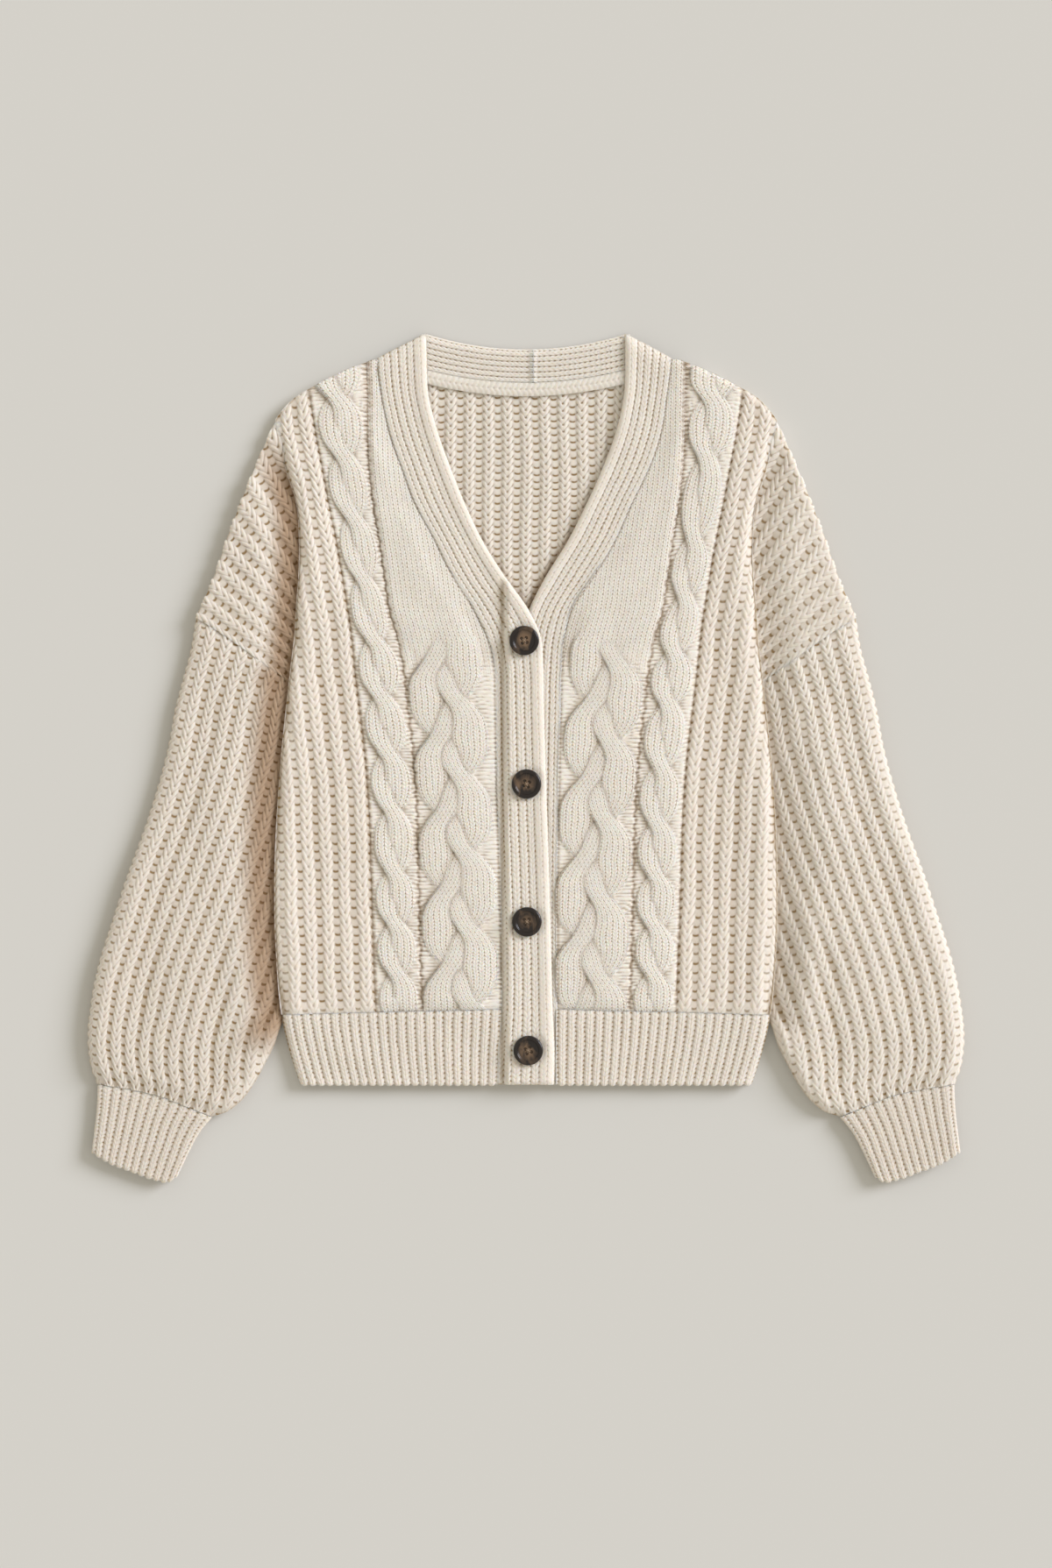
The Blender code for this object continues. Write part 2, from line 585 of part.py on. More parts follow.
def make_back(material):
    """The back: both fronts' outline in one piece, ribbed where the neck opening shows its inner face."""
    half = side_to_shoulder()
    neck_x = np.linspace(NECK_BACK_HALF, -NECK_BACK_HALF, 18)
    neck = stack(neck_x, np.minimum(neck_low(neck_x), NECK_LOW_SIDE))
    low_x = np.linspace(-210.0, 210.0, 12)
    outline = inset(joined(stack(low_x, hem_seam(low_x)), half, neck, put(-1, half)), SEAM_GAP)

    def opening(points):
        """1 inside the neck opening and 0 where a front covers the back."""
        s, y, _ = halves(points)
        edge = np.minimum(band_edge(-1, y), band_edge(1, y))
        return step(4.0, 12.0, edge - s) * step(OPENING_LOW, OPENING_HIGH, y)

    def top(points):
        gaps = 1 - ridge(points[:, 0] / NECK_RIB_PITCH + 0.5)
        return BACK_WALL - RIB_HEIGHT * gaps * opening(points)

    lines = []
    y = np.arange(340.0, OPENING_LOW, -RIB_STEP)
    for half_rib in range(-9, 10):
        line = stack(half_rib / 2 * NECK_RIB_PITCH, y)
        lines += split(line, opening(line) > 0.3)
    return solid("back", outline, lines, top, level(0.0), material)


# ---------------------------------------------------------------- the hems

def make_front_hem(side, material):
    """One front's ribbed hem, between the band's seam and the side."""
    start = float(band_seam(side, HEM_END))
    low = stack(np.linspace(start, HEM_SIDE_END - 6.0, 16), HEM_END)
    edge = along(hem_side, HEM_END + 2.0, HEM_TOP_SIDE, 11.0)
    top_s = np.linspace(HEM_SIDE_TOP - 12.0, band_seam(side, HEM_TOP_MIDDLE) + 8.0, 14)
    seam = along(lambda y: band_seam(side, y), HEM_TOP_MIDDLE - 1.6, HEM_END + 2.0, 9.0)
    outline = inset(joined(low, edge, stack(top_s, hem_seam(top_s)), seam), SEAM_GAP / 2)
    ribs = int((HEM_SIDE_TOP - start) / HEM_PITCH)

    def top(points):
        s, y, _ = halves(points)
        inner, outer = band_seam(side, y), hem_side(y)
        z = FRONT_UNDER + HEM_WALL + FINE_RIB_HEIGHT * ridge((s - inner) / (outer - inner) * ribs)
        z -= fallen(outer - s, EDGE_RADIUS, FRONT_WALL) + fallen(y - HEM_END, 6.0, 3.4)
        return z - groove(hem_seam(s) - y, SEAM_WIDTH, SEAM_GROOVE) - groove(s - inner, 4.0, 1.0)

    y = np.array([HEM_TOP_SIDE - 4.0, HEM_TOP_SIDE - 26.0, HEM_END + 22.0, HEM_END + 5.0])
    inner, outer = band_seam(side, y), hem_side(y)
    shares = np.arange(1, 2 * ribs) / (2 * ribs)
    lines = [put(side, stack(inner + (outer - inner) * share, y)) for share in shares]
    name = "hem_front_right" if side < 0 else "hem_front_left"
    return solid(name, put(side, outline), lines, top, level(FRONT_UNDER), material, tuck=1.4, clear=2.0)


def make_back_hem(material):
    """The back's hem in one piece, flat where it lies under the front hems."""
    edge = along(hem_side, HEM_END + 2.0, HEM_TOP_SIDE, 11.0)
    low_x = np.linspace(-HEM_SIDE_END + 6.0, HEM_SIDE_END - 6.0, 22)
    top_x = np.linspace(HEM_SIDE_TOP - 16.0, -HEM_SIDE_TOP + 16.0, 12)
    seam = stack(top_x, hem_seam(top_x))
    outline = inset(joined(stack(low_x, HEM_END), edge, seam, put(-1, edge)), SEAM_GAP)
    line = stack(np.linspace(-205.0, 205.0, 16), HEM_END + 8.0)

    def top(points):
        return BACK_WALL - fallen(points[:, 1] - HEM_END, 5.0, 2.4)

    return solid("hem_back", outline, [line], top, level(0.0), material)


# ---------------------------------------------------------------- the bands and the neck

def band_relief(across):
    """Four narrow ribs beside the seam, then the thick rolled edge."""
    ribs = BAND_RIB_HEIGHT * ridge(across / BAND_RIB) * (across < BAND_RIBS_END)
    roll = np.sqrt(np.maximum(1 - ((across - BAND_ROLL) / BAND_ROLL_HALF) ** 2, 0.0))
    return np.maximum(ribs, BAND_ROLL_HEIGHT * roll)


def band_outline(side):
    """Up the front along its seam, over the shoulder, across to the middle back, and down the free edge."""
    corner, foot_seam = float(band_edge(side, HEM_END)), float(band_seam(side, HEM_END))
    seam = along(lambda y: band_seam(side, y), HEM_END + 4.0, 380.0, BAND_STEP)
    edge = along(lambda y: band_edge(side, y), 349.0, HEM_END + 8.0, BAND_STEP)
    back_s = np.linspace(NECK_HALF, 0.6, 9)
    upper, lower = stack(back_s, neck_top(back_s)), stack(back_s[::-1], neck_low(back_s[::-1]))
    foot = np.array([
        (corner + 2.0, HEM_END + 1.5),
        (corner + 9.0, HEM_END - 1.6),
        (0.0, HEM_END),
        (13.5, HEM_END),
        (foot_seam - 3.0, HEM_END),
    ])
    return inset(joined(seam, np.array(NECK_CORNERS), upper, lower, edge, foot), SEAM_GAP / 2)


def make_band(side, material):
    """A button band with its half of the neckband, from the hem up the front to the middle of the back."""
    shoulder = np.array([(142.8, 381.0), (116.0, 395.6), (NECK_HALF, 405.0)])

    def behind(s, y):
        """1 on the part that lies across the back of the neck."""
        return step(NECK_HALF + 1.0, NECK_HALF - 4.0, s) * step(0.5, 9.0, y - neck_low(s))

    def pressed(points):
        """0 where a button or the other band presses the knit flat, and 1 clear of both."""
        if side > 0:
            return 1 - step(29.0, 25.0, points[:, 0]) * step(CLIMB_TOP + 2.0, CLIMB_LOW + 4.0, points[:, 1])
        away = np.min([np.hypot(*(points - np.array(place)).T) for place in BUTTONS], axis=0)
        return step(BUTTON_RADIUS + PRESSED_INSIDE, BUTTON_RADIUS + PRESSED_OUTSIDE, away)

    def under(points):
        s, y = points[:, 0] * side, points[:, 1]
        climb = step(CLIMB_OUT, CLIMB_IN, s) * step(CLIMB_TOP, CLIMB_LOW, y) * (side < 0)
        return (FRONT_UNDER + BAND_LIFT * climb) * (1 - behind(s, y))

    def top(points):
        s, y = points[:, 0] * side, points[:, 1]
        seam, edge = band_seam(side, y), band_edge(side, y)
        across = np.clip((seam - s) / (seam - edge), 0.0, 1.0)
        front = band_relief(across) * pressed(points) - groove(across * BAND_WIDTH, 4.0, 1.2)
        front -= fallen((1 - across) * BAND_WIDTH, 5.0, 3.0)
        front -= fallen(distance(stack(s, y), shoulder), 8.0, 3.6)
        z = under(points) + BAND_WALL + front * (1 - behind(s, y))
        return z - fallen(y - HEM_END, 5.0, 2.6) - fallen(neck_top(s) - y, 5.0, 2.4) * behind(s, y)

    y = np.arange(372.0, HEM_END, -BAND_STEP)
    seam, edge = band_seam(side, y), band_edge(side, y)
    lines = [stack(seam + (edge - seam) * part, y) for part in BAND_COLUMNS]
    low_lines = [stack(seam + (edge - seam) * part, y) for part in (0.25, 0.5, 0.75)]
    back_s = np.linspace(NECK_HALF - 7.0, 6.0, 7)
    neck = [stack(back_s, neck_top(back_s) - drop) for drop in (10.0, 20.0)]
    neck += [stack(s - 4.0, np.linspace(372.0, 396.0, 4)) for s in NECK_RIDGES]
    lines, low_lines = ([put(side, line) for line in found + neck] for found in (lines, low_lines))
    name = "band_right" if side < 0 else "band_left"
    outline = put(side, band_outline(side))
    return solid(name, outline, lines, top, under, material, tuck=1.2, clear=2.4, under_lines=low_lines)


def make_neck_strip(material):
    """The knitted strip that covers the seam between the neckband and the back."""
    x = np.linspace(-NECK_HALF + STRIP_INSET, NECK_HALF - STRIP_INSET, 20)
    outline = joined(stack(x, neck_low(x) - STRIP_WIDTH), stack(x[::-1], neck_low(x) - 2 * SEAM_GAP))

    def top(points):
        down = neck_low(points[:, 0]) - points[:, 1]
        return STRIP_REST + STRIP_HEIGHT - fallen(np.minimum(down, STRIP_WIDTH - down), 5.0, 2.0)

    middle = stack(x, neck_low(x) - STRIP_WIDTH / 2)
    return solid("neck_strip", outline, [middle], top, level(STRIP_REST), material, tuck=0.6)


# ---------------------------------------------------------------- the sleeves and cuffs

def moved(line, direction, way):
    """The line's inner points moved a way along a direction."""
    return line[1:-1] + np.array(direction) * way


def make_sleeve(side, material):
    """A balloon sleeve: a flattened tube, flat below, ribbed along its length and fullest above the cuff."""
    outer = spline(SLEEVE_OUTER, OUTLINE_STEP)[::-1]
    beside = along(lambda y: body(SIDE, y) + UNDERARM_GAP, UNDERARM + 2.0, -250.0, OUTLINE_STEP)
    inner = np.vstack([beside, spline(SLEEVE_INNER, OUTLINE_STEP)[::-1]])
    arm, cuff = spline(ARMHOLE, OUTLINE_STEP), spline(CUFF_SEAM, OUTLINE_STEP)
    outline = inset(joined(cuff[::-1], outer, arm, inner), SEAM_GAP / 2)

    def outer_at(y):
        return np.interp(y, *outer.T[::-1])

    def pitch(y):
        return np.interp(y, *np.array(SLEEVE_PITCH).T)

    def top(points):
        s, y, flat = halves(points)
        full = smooth(SLEEVE_HEIGHT, 1, y)
        away = np.minimum(distance(flat, outer), distance(flat, inner))
        ribs = RIB_HEIGHT * ridge((outer_at(y) - s) / pitch(y) + 0.5)
        z = full + ribs * step(0.0, 8.0, away) - fallen(away, SLEEVE_RADIUS, full - SLEEVE_RIM)
        z -= groove(distance(flat, arm), SEAM_WIDTH, SEAM_GROOVE)
        return z - groove(distance(flat, cuff), SLEEVE_GATHER, SEAM_GROOVE)

    def roof(points):
        open_part = step(-335.0, -250.0, points[:, 1]) * step(110.0, 0.0, points[:, 1])
        return SLEEVE_WALL + SLEEVE_SLIT_END + (SLEEVE_SLIT_MIDDLE - SLEEVE_SLIT_END) * open_part

    y = np.arange(124.0, -345.0, -22.0)
    lines = [stack(outer_at(y) - half_rib / 2 * pitch(y), y) for half_rib in range(1, 28)]
    lines += [inset(line, 5.0)[1:-1] for line in (outer, inner)]
    from_ends = np.minimum(distance(outline, arm), distance(outline, cuff))
    tuck = SLEEVE_TUCK * step(2.0, SLEEVE_TUCK_RUN, from_ends)
    name = "sleeve_right" if side < 0 else "sleeve_left"
    placed = [put(side, line) for line in lines]
    sleeve = solid(name, put(side, outline), placed, top, level(0.0), material, tuck=tuck[::side])
    hollow = joined(
        moved(cuff, CUFF_WAY, HOLLOW_OVERRUN)[::-1],
        inset(outer, SLEEVE_HOLLOW_INSET)[2:-1],
        moved(arm, ARMHOLE_WAY, HOLLOW_OVERRUN),
        inset(inner, SLEEVE_HOLLOW_INSET)[2:-2],
    )
    spine = stack((outer_at(y) + np.interp(y, *inner[::-1].T[::-1])) / 2, y)
    shape, spine, floor = put(side, hollow), put(side, spine), level(SLEEVE_WALL)
    cut(sleeve, solid(name + "_hollow", shape, [spine], roof, floor, material, tuck=0.0))
    return sleeve


def between(points, first, second):
    """Share of the way across a four-sided patch, from its first edge to its second, each given by two ends.

    A line through the point joins equal shares of the patch's other two edges. That the point lies on it is
    a quadratic in the share.
    """
    start, run = first[0], first[1] - first[0]
    across = second[0] - start
    twist = second[1] - second[0] - run
    offset = points - start

    def cross(a, b):
        return a[..., 0] * b[..., 1] - a[..., 1] * b[..., 0]

    a = -cross(twist, across)
    b = cross(twist, offset) - cross(run, across)
    c = cross(run, offset)
    root = np.sqrt(np.maximum(b * b - 4 * a * c, 0.0))
    return np.clip(2 * c / np.where(b < 0, -b + root, -b - root), 0.0, 1.0)


def make_cuff(side, material):
    """A ribbed cuff: a flattened tube, narrower than the sleeve that is gathered into it."""
    seam, end = spline(CUFF_SEAM, OUTLINE_STEP), spline(CUFF_END, OUTLINE_STEP)
    outer, inner = spline(CUFF_OUTER, OUTLINE_STEP)[::-1], spline(CUFF_INNER, OUTLINE_STEP)[::-1]
    outline = inset(joined(end[::-1], outer, seam, inner), SEAM_GAP / 2)

    def top(points):
        flat = halves(points)[2]
        share = between(flat, (outer[-1], outer[0]), (inner[0], inner[-1]))
        away = np.minimum(distance(flat, outer), distance(flat, inner))
        ribs = FINE_RIB_HEIGHT * ridge(share * CUFF_RIBS) * step(0.0, 5.0, away)
        z = CUFF_HEIGHT + ribs - fallen(away, CUFF_RADIUS, CUFF_HEIGHT - CUFF_RIM)
        z -= fallen(distance(flat, end), 4.0, 1.6)
        return z - groove(distance(flat, seam), SEAM_WIDTH, SEAM_GROOVE)

    seam_even, end_even = spline(CUFF_SEAM, 1.0), spline(CUFF_END, 1.0)
    down = np.linspace(0.06, 0.94, 5)[:, None]
    lines = []
    for share in np.arange(1, 2 * CUFF_RIBS) / (2 * CUFF_RIBS):
        first = seam_even[int(share * (len(seam_even) - 1))]
        last = end_even[int(share * (len(end_even) - 1))]
        lines.append(put(side, first + (last - first) * down))
    name = "cuff_right" if side < 0 else "cuff_left"
    cuff = solid(name, put(side, outline), lines, top, level(0.0), material, tuck=CUFF_TUCK, clear=2.0)
    hollow = joined(
        moved(end, CUFF_WAY, HOLLOW_OVERRUN)[::-1],
        inset(outer, CUFF_HOLLOW_INSET)[1:-1],
        moved(seam, CUFF_WAY, -HOLLOW_OVERRUN),
        inset(inner, CUFF_HOLLOW_INSET)[1:-1],
    )
    shape, spine = put(side, hollow), put(side, np.array(CUFF_SPINE))
    roof, floor = level(CUFF_WALL + CUFF_SLIT), level(CUFF_WALL)
    cut(cuff, solid(name + "_hollow", shape, [spine], roof, floor, material, tuck=0.0))
    return cuff


# ---------------------------------------------------------------- the buttons

def turned(profile, segments):
    """Points and faces of a closed shape turned about Z from (radius, height) rows, its two ends flat."""
    turn = 2 * np.pi * np.arange(segments) / segments
    rings = [np.column_stack([r * np.cos(turn), r * np.sin(turn), np.full(segments, z)]) for r, z in profile]
    last = (len(profile) - 1) * segments
    faces = [list(range(segments))[::-1], [last + i for i in range(segments)]]
    for low in range(0, last, segments):
        ring = [(low + i, low + (i + 1) % segments) for i in range(segments)]
        faces += [[a, b, b + segments, a + segments] for a, b in ring]
    return np.vstack(rings), faces


def make_button(number, place, material):
    """A four-hole button with a raised rim, resting on the upper band."""
    base = np.array([*place, BUTTON_BASE])
    points, faces = turned(BUTTON_PROFILE, BUTTON_SEGMENTS)
    button = add_object(f"button_{number}", points + base, faces, material)
    drill, drill_faces = turned(HOLE_PROFILE, HOLE_SEGMENTS)
    corners = [(x, y, 0.0) for x in (-HOLE_OFFSET, HOLE_OFFSET) for y in (-HOLE_OFFSET, HOLE_OFFSET)]
    all_points = np.vstack([drill + base + corner for corner in corners])
    all_faces = [[i + len(drill) * n for i in face] for n in range(len(corners)) for face in drill_faces]
    cut(button, add_object(f"button_{number}_holes", all_points, all_faces, material))
    return button


def clear_scene():
    for thing in list(bpy.data.objects):
        bpy.data.objects.remove(thing, do_unlink=True)


def main():
    clear_scene()
    wool = finish("cream_wool", WOOL, 0.9)
    horn = finish("brown_horn", HORN, 0.25)
    make_back(wool)
    make_back_hem(wool)
    make_neck_strip(wool)
    for side in (-1, 1):
        make_front(side, wool)
        make_front_hem(side, wool)
        make_band(side, wool)
        make_sleeve(side, wool)
        make_cuff(side, wool)
    for number, place in enumerate(BUTTONS, start=1):
        make_button(number, place, horn)


main()
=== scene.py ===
# %% [markdown]
# # A cable-knit cardigan, laid flat
#
# This lesson dresses a plain solid model of a cardigan in knitting. The solids are closed walls of the right
# size and place, and each of them is replaced here by a finer surface with real ribs, cables and stitches.
# Everything is worked out in millimetres and becomes metres only where a mesh is made.

import bmesh
import bpy
import numpy as np
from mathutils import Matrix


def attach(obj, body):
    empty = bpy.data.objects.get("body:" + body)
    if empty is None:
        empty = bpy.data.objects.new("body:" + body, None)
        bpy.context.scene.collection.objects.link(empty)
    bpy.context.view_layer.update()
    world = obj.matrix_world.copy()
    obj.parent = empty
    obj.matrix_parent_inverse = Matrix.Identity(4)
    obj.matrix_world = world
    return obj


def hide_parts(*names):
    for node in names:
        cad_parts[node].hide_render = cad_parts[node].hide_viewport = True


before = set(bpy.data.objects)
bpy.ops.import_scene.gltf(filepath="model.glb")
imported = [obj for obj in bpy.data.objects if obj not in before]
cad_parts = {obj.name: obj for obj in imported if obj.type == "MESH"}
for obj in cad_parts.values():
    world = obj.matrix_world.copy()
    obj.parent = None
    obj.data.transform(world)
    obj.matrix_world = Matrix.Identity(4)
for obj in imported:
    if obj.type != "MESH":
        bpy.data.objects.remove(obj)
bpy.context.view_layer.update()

MM = 0.001
# Heights on the garment are counted from a line this far above the middle of its box
BOX_MIDDLE = -2.36

# %% [markdown]
# ## The camera and the table
#
# The cardigan lies on a pale table and is seen from straight above, as a shop would show it. A long lens far
# away keeps both sleeves alike. The picture is upright, so the sensor's width fits the picture's height.

# %% Camera
VIEW_HEIGHT, VIEW_MIDDLE = 1503.0, -27.7
CAMERA_HEIGHT = 4200.0
SENSOR = 36.0
CLOTH_LEVEL = 12.0


def from_above(x, y, z=0.0):
    """A place in metres from one in millimetres, with y counted as on the garment."""
    return (x * MM, (y - BOX_MIDDLE) * MM, z * MM)


def new_object(name, data):
    """A new object in the scene."""
    made = bpy.data.objects.new(name, data)
    bpy.context.scene.collection.objects.link(made)
    return made


camera = new_object("camera", bpy.data.cameras.new("camera"))
camera.location = from_above(0.0, VIEW_MIDDLE, CAMERA_HEIGHT)
camera.data.sensor_width = SENSOR
camera.data.lens = SENSOR * (CAMERA_HEIGHT - CLOTH_LEVEL) / VIEW_HEIGHT
bpy.context.scene.camera = camera
print("The lens is", round(camera.data.lens), "mm long")

# %% [markdown]
# ## The garment's guide tables
#
# A few tables carry the cut of the garment. Both halves are nearly alike, so a place is given by s, its
# distance from the middle, and y, its height. Side +1 is the wearer's left and -1 the wearer's right, whose
# button band lies on top.

# %% Tables of the body and the bands
SIDE, CABLE_OUTER, CABLE_INNER, PLAIT_MIDDLE = 1, 2, 3, 4
# Columns: height, the side's edge, the gap outside the side cable, the gap inside it, the plait's middle
BODY = (
    (-316.0, 216.5, 138.0, 96.0, 62.0),
    (-242.0, 234.0, 143.5, 99.5, 62.0),
    (-180.0, 239.5, 146.0, 101.5, 62.8),
    (-120.0, 240.5, 148.0, 103.0, 65.0),
    (-60.0, 238.5, 149.8, 104.5, 68.0),
    (0.0, 234.0, 154.0, 108.0, 71.8),
    (50.0, 229.0, 160.0, 114.0, 75.0),
    (85.0, 225.0, 164.0, 117.8, 78.0),
    (115.0, 221.5, 167.0, 124.0, 80.0),
    (140.0, 220.0, 170.5, 131.0, 81.0),
    (170.0, 217.5, 175.5, 135.3, 82.0),
    (205.0, 217.0, 181.5, 140.5, 83.0),
    (240.0, 219.5, 188.5, 146.0, 84.0),
    (275.0, 230.0, 195.0, 150.3, 85.0),
    (310.0, 238.0, 201.5, 151.8, 86.0),
    (345.0, 244.0, 207.0, 152.5, 87.0),
    (385.0, 250.0, 213.0, 153.5, 88.0),
)
SEAM, EDGE = {-1: 1, 1: 3}, {-1: 2, 1: 4}
# Columns: height, seam and free edge of the upper band, seam and free edge of the band under it
BANDS = (
    (-316.0, 29.0, -27.0, 30.2, -12.0),
    (-284.0, 27.5, -27.5, 30.2, -12.0),
    (-242.0, 24.6, -25.8, 30.2, -12.0),
    (-180.0, 24.4, -24.3, 30.2, -12.0),
    (-120.0, 25.9, -22.7, 30.2, -12.0),
    (-60.0, 27.7, -20.6, 31.2, -12.0),
    (0.0, 29.2, -18.8, 32.4, -12.0),
    (50.0, 29.9, -17.5, 33.6, -12.0),
    (85.0, 31.2, -16.8, 34.7, -10.5),
    (115.0, 38.0, -14.0, 37.4, -6.0),
    (140.0, 50.7, -2.2, 44.4, 2.8),
    (170.0, 69.7, 19.0, 64.0, 18.0),
    (205.0, 87.0, 41.0, 85.0, 39.5),
    (240.0, 105.7, 57.7, 100.7, 57.3),
    (275.0, 119.1, 71.8, 117.8, 73.0),
    (310.0, 131.0, 84.3, 129.4, 86.0),
    (345.0, 138.5, 93.2, 134.8, 93.6),
    (381.0, 142.6, 95.0, 139.5, 94.9),
    (405.0, 145.0, 95.6, 143.0, 94.5),
)
# Height of each crossing in the side cables, from the shoulder down to the hem
CROSSINGS = {
    -1: (342, 287, 228, 169, 110, 56, 1, -53, -112, -162, -210),
    1: (342, 285, 207, 152, 98, 49, -11, -66, -116, -164, -210),
}
print("The tables give", len(BODY), "heights of the body and", len(BANDS), "of the bands")

# %% Tables of the shoulders, sleeves and cuffs, as rows of (s, y)
SHOULDER = (
    (142.8, 381.0), (168.0, 371.0), (201.6, 354.5), (222.6, 341.5), (240.0, 321.0),
    (255.0, 288.0), (269.0, 254.0), (284.0, 216.0), (300.0, 170.0), (316.5, 132.0),
)
ARMHOLE = (
    (316.5, 132.0), (302.4, 123.1), (285.6, 112.1), (268.8, 100.4), (252.0, 87.8), (236.0, 76.9),
    (227.6, 70.4),
)
SLEEVE_OUTER = (
    (316.9, 130.0), (321.5, 100.0), (328.5, 75.0), (336.0, 46.0), (343.0, 8.0),
    (354.0, -33.0), (368.0, -76.0), (383.0, -117.0), (396.5, -158.0), (410.0, -201.0),
    (417.8, -242.0), (420.3, -268.0), (419.6, -284.0), (416.6, -301.0), (411.5, -315.5),
)
CUFF_SEAM = ((411.5, -315.5), (378.0, -320.5), (350.0, -327.0), (325.0, -337.0), (301.0, -347.0))
SLEEVE_INNER = (
    (301.0, -347.0), (285.0, -341.0), (270.0, -328.0), (259.0, -312.0), (249.5, -294.5), (242.0, -279.5),
    (236.5, -263.0),
)
CUFF_OUTER = ((411.0, -316.0), (412.0, -340.0), (414.5, -362.0), (416.8, -380.5))
CUFF_END = (
    (416.8, -380.5), (400.0, -391.0), (378.0, -399.5), (355.0, -407.5), (343.0, -409.3), (334.0, -404.0),
)
CUFF_INNER = ((334.0, -404.0), (324.5, -384.0), (313.0, -362.5), (301.0, -347.5))
# Columns: height along the sleeve, how thick it lies
SLEEVE_HEIGHT = ((-345.0, 12.4), (-300.0, 15.6), (-230.0, 17.0), (-100.0, 16.0), (60.0, 13.6), (140.0, 12.6))
BUTTONS = ((-1.7, 109.6), (0.4, -27.7), (0.8, -159.6), (2.1, -282.7))
print("The buttons are", [round(a[1] - b[1]) for a, b in zip(BUTTONS, BUTTONS[1:])], "mm apart")

# %% [markdown]
# ## Curves and soft steps
#
# Knitting has no straight edges, so every table is read as a smooth curve. The helpers here are the small
# tools that all the pieces share: a smooth column of a table, a soft step from 0 to 1, an even spline, and
# the distance from each point of a grid to a line.

# %% Curve helpers

def smooth(table, index, y):
    """A column of a table at any height: a cubic in each row, with mean slopes where two rows meet."""
    knots, values = np.array(table, float)[:, [0, index]].T
    slopes = np.gradient(values, knots)
    y = np.asarray(y, float)
    cell = np.clip(np.searchsorted(knots, y) - 1, 0, len(knots) - 2)
    width = knots[cell + 1] - knots[cell]
    t = np.clip((y - knots[cell]) / width, 0.0, 1.0)
    start = (1 + 2 * t) * (1 - t) ** 2 * values[cell] + t * (1 - t) ** 2 * width * slopes[cell]
    end = t * t * (3 - 2 * t) * values[cell + 1] - t * t * (1 - t) * width * slopes[cell + 1]
    return start + end


def step(low, high, value):
    """0 at low, 1 at high, and 3t² - 2t³ between them."""
    t = np.clip((value - low) / (high - low), 0.0, 1.0)
    return t * t * (3 - 2 * t)


def mix(a, b, t):
    return a + (b - a) * t


def lengths(points):
    """How far along a line of points each of them is."""
    return np.concatenate([[0.0], np.cumsum(np.hypot(*np.diff(points, axis=0).T))])


def unit(ways):
    """Ways made one long."""
    return ways / np.linalg.norm(ways, axis=-1, keepdims=True)


def spline(points, count):
    """A smooth curve through the points, at count places evenly along its length."""
    points = np.array(points, float)
    knots = lengths(points)
    table = np.column_stack([knots, points])
    at = np.linspace(0.0, knots[-1], count)
    return np.stack([smooth(table, 1, at), smooth(table, 2, at)], axis=-1)


def distance(s, y, line):
    """Distance from each point of a grid to the nearest of a line's straight pieces."""
    best = np.full(s.shape, np.inf)
    for (s0, y0), (s1, y1) in zip(line[:-1], line[1:]):
        run_s, run_y = s1 - s0, y1 - y0
        t = np.clip(((s - s0) * run_s + (y - y0) * run_y) / (run_s**2 + run_y**2), 0.0, 1.0)
        best = np.minimum(best, np.hypot(s - s0 - t * run_s, y - y0 - t * run_y))
    return best


def fallen(away, radius, depth):
    """How far a round edge has dropped: a quarter of an ellipse, radius wide and depth high."""
    t = 1.0 - np.clip(away / radius, 0.0, 1.0)
    return depth * (1.0 - np.sqrt(1.0 - t * t))


def drawn_in(away, width, depth):
    """How far a seam pulls the cloth down: by depth at the seam and not at all from width on."""
    return depth * (1 - step(0.0, width, away))


def hump(distance_away, width):
    """A bell curve: 1 in the middle and nearly 0 at twice the width."""
    return np.exp(-((distance_away / width) ** 2))


def body(index, y):
    return smooth(BODY, index, y)


def band_seam(side, y):
    return smooth(BANDS, SEAM[side], y)


def band_edge(side, y):
    return smooth(BANDS, EDGE[side], y)


print("The body is", 2 * round(float(body(SIDE, -120.0))), "mm wide above the hem")

# %% [markdown]
# ## Hand-knit unevenness
#
# No two stitches are quite alike. A sum of a few long sine waves in different directions shifts rows and
# heights a little. It is smooth, it needs no texture, and a fixed seed makes it the same each time.

# %% Unevenness

def wander(s, y, scale, seed):
    """A wandering value of about -1 to 1: a third of the sum of six sine waves of about that wavelength."""
    random = np.random.default_rng(seed)
    total = 0.0
    for _ in range(6):
        turn, phase = random.uniform(0, 2 * np.pi, 2)
        rate = 2 * np.pi / (scale * random.uniform(0.7, 1.5))
        total = total + np.sin((s * np.cos(turn) + y * np.sin(turn)) * rate + phase)
    return total / 3.0


print("A wandering value at the middle is", round(float(wander(0.0, 0.0, 45.0, 5)), 2))

# %% [markdown]
# ## From a surface to a closed mesh
#
# A panel of cloth is a fine grid on top and a plain, coarser grid below. Every eighth point of the top is
# used below, and a strip of triangles zips the two along each edge, so the mesh is closed and most of its
# faces are where they are seen. A Solidify modifier would make the wall too, but with as many faces below,
# where nobody looks. A sleeve is a tube, so it has an inner skin as well, joined at both ends.

# %% Grids and their faces
COARSE = 8


def even(low, high, cells):
    """Even values along one side of a grid that is so many coarse cells long."""
    return np.linspace(low, high, cells * COARSE + 1)


def quads(index, flip=False):
    """Faces of a grid of vertex numbers."""
    faces = np.stack([index[:-1, :-1], index[:-1, 1:], index[1:, 1:], index[1:, :-1]], -1).reshape(-1, 4)
    return faces[:, ::-1] if flip else faces


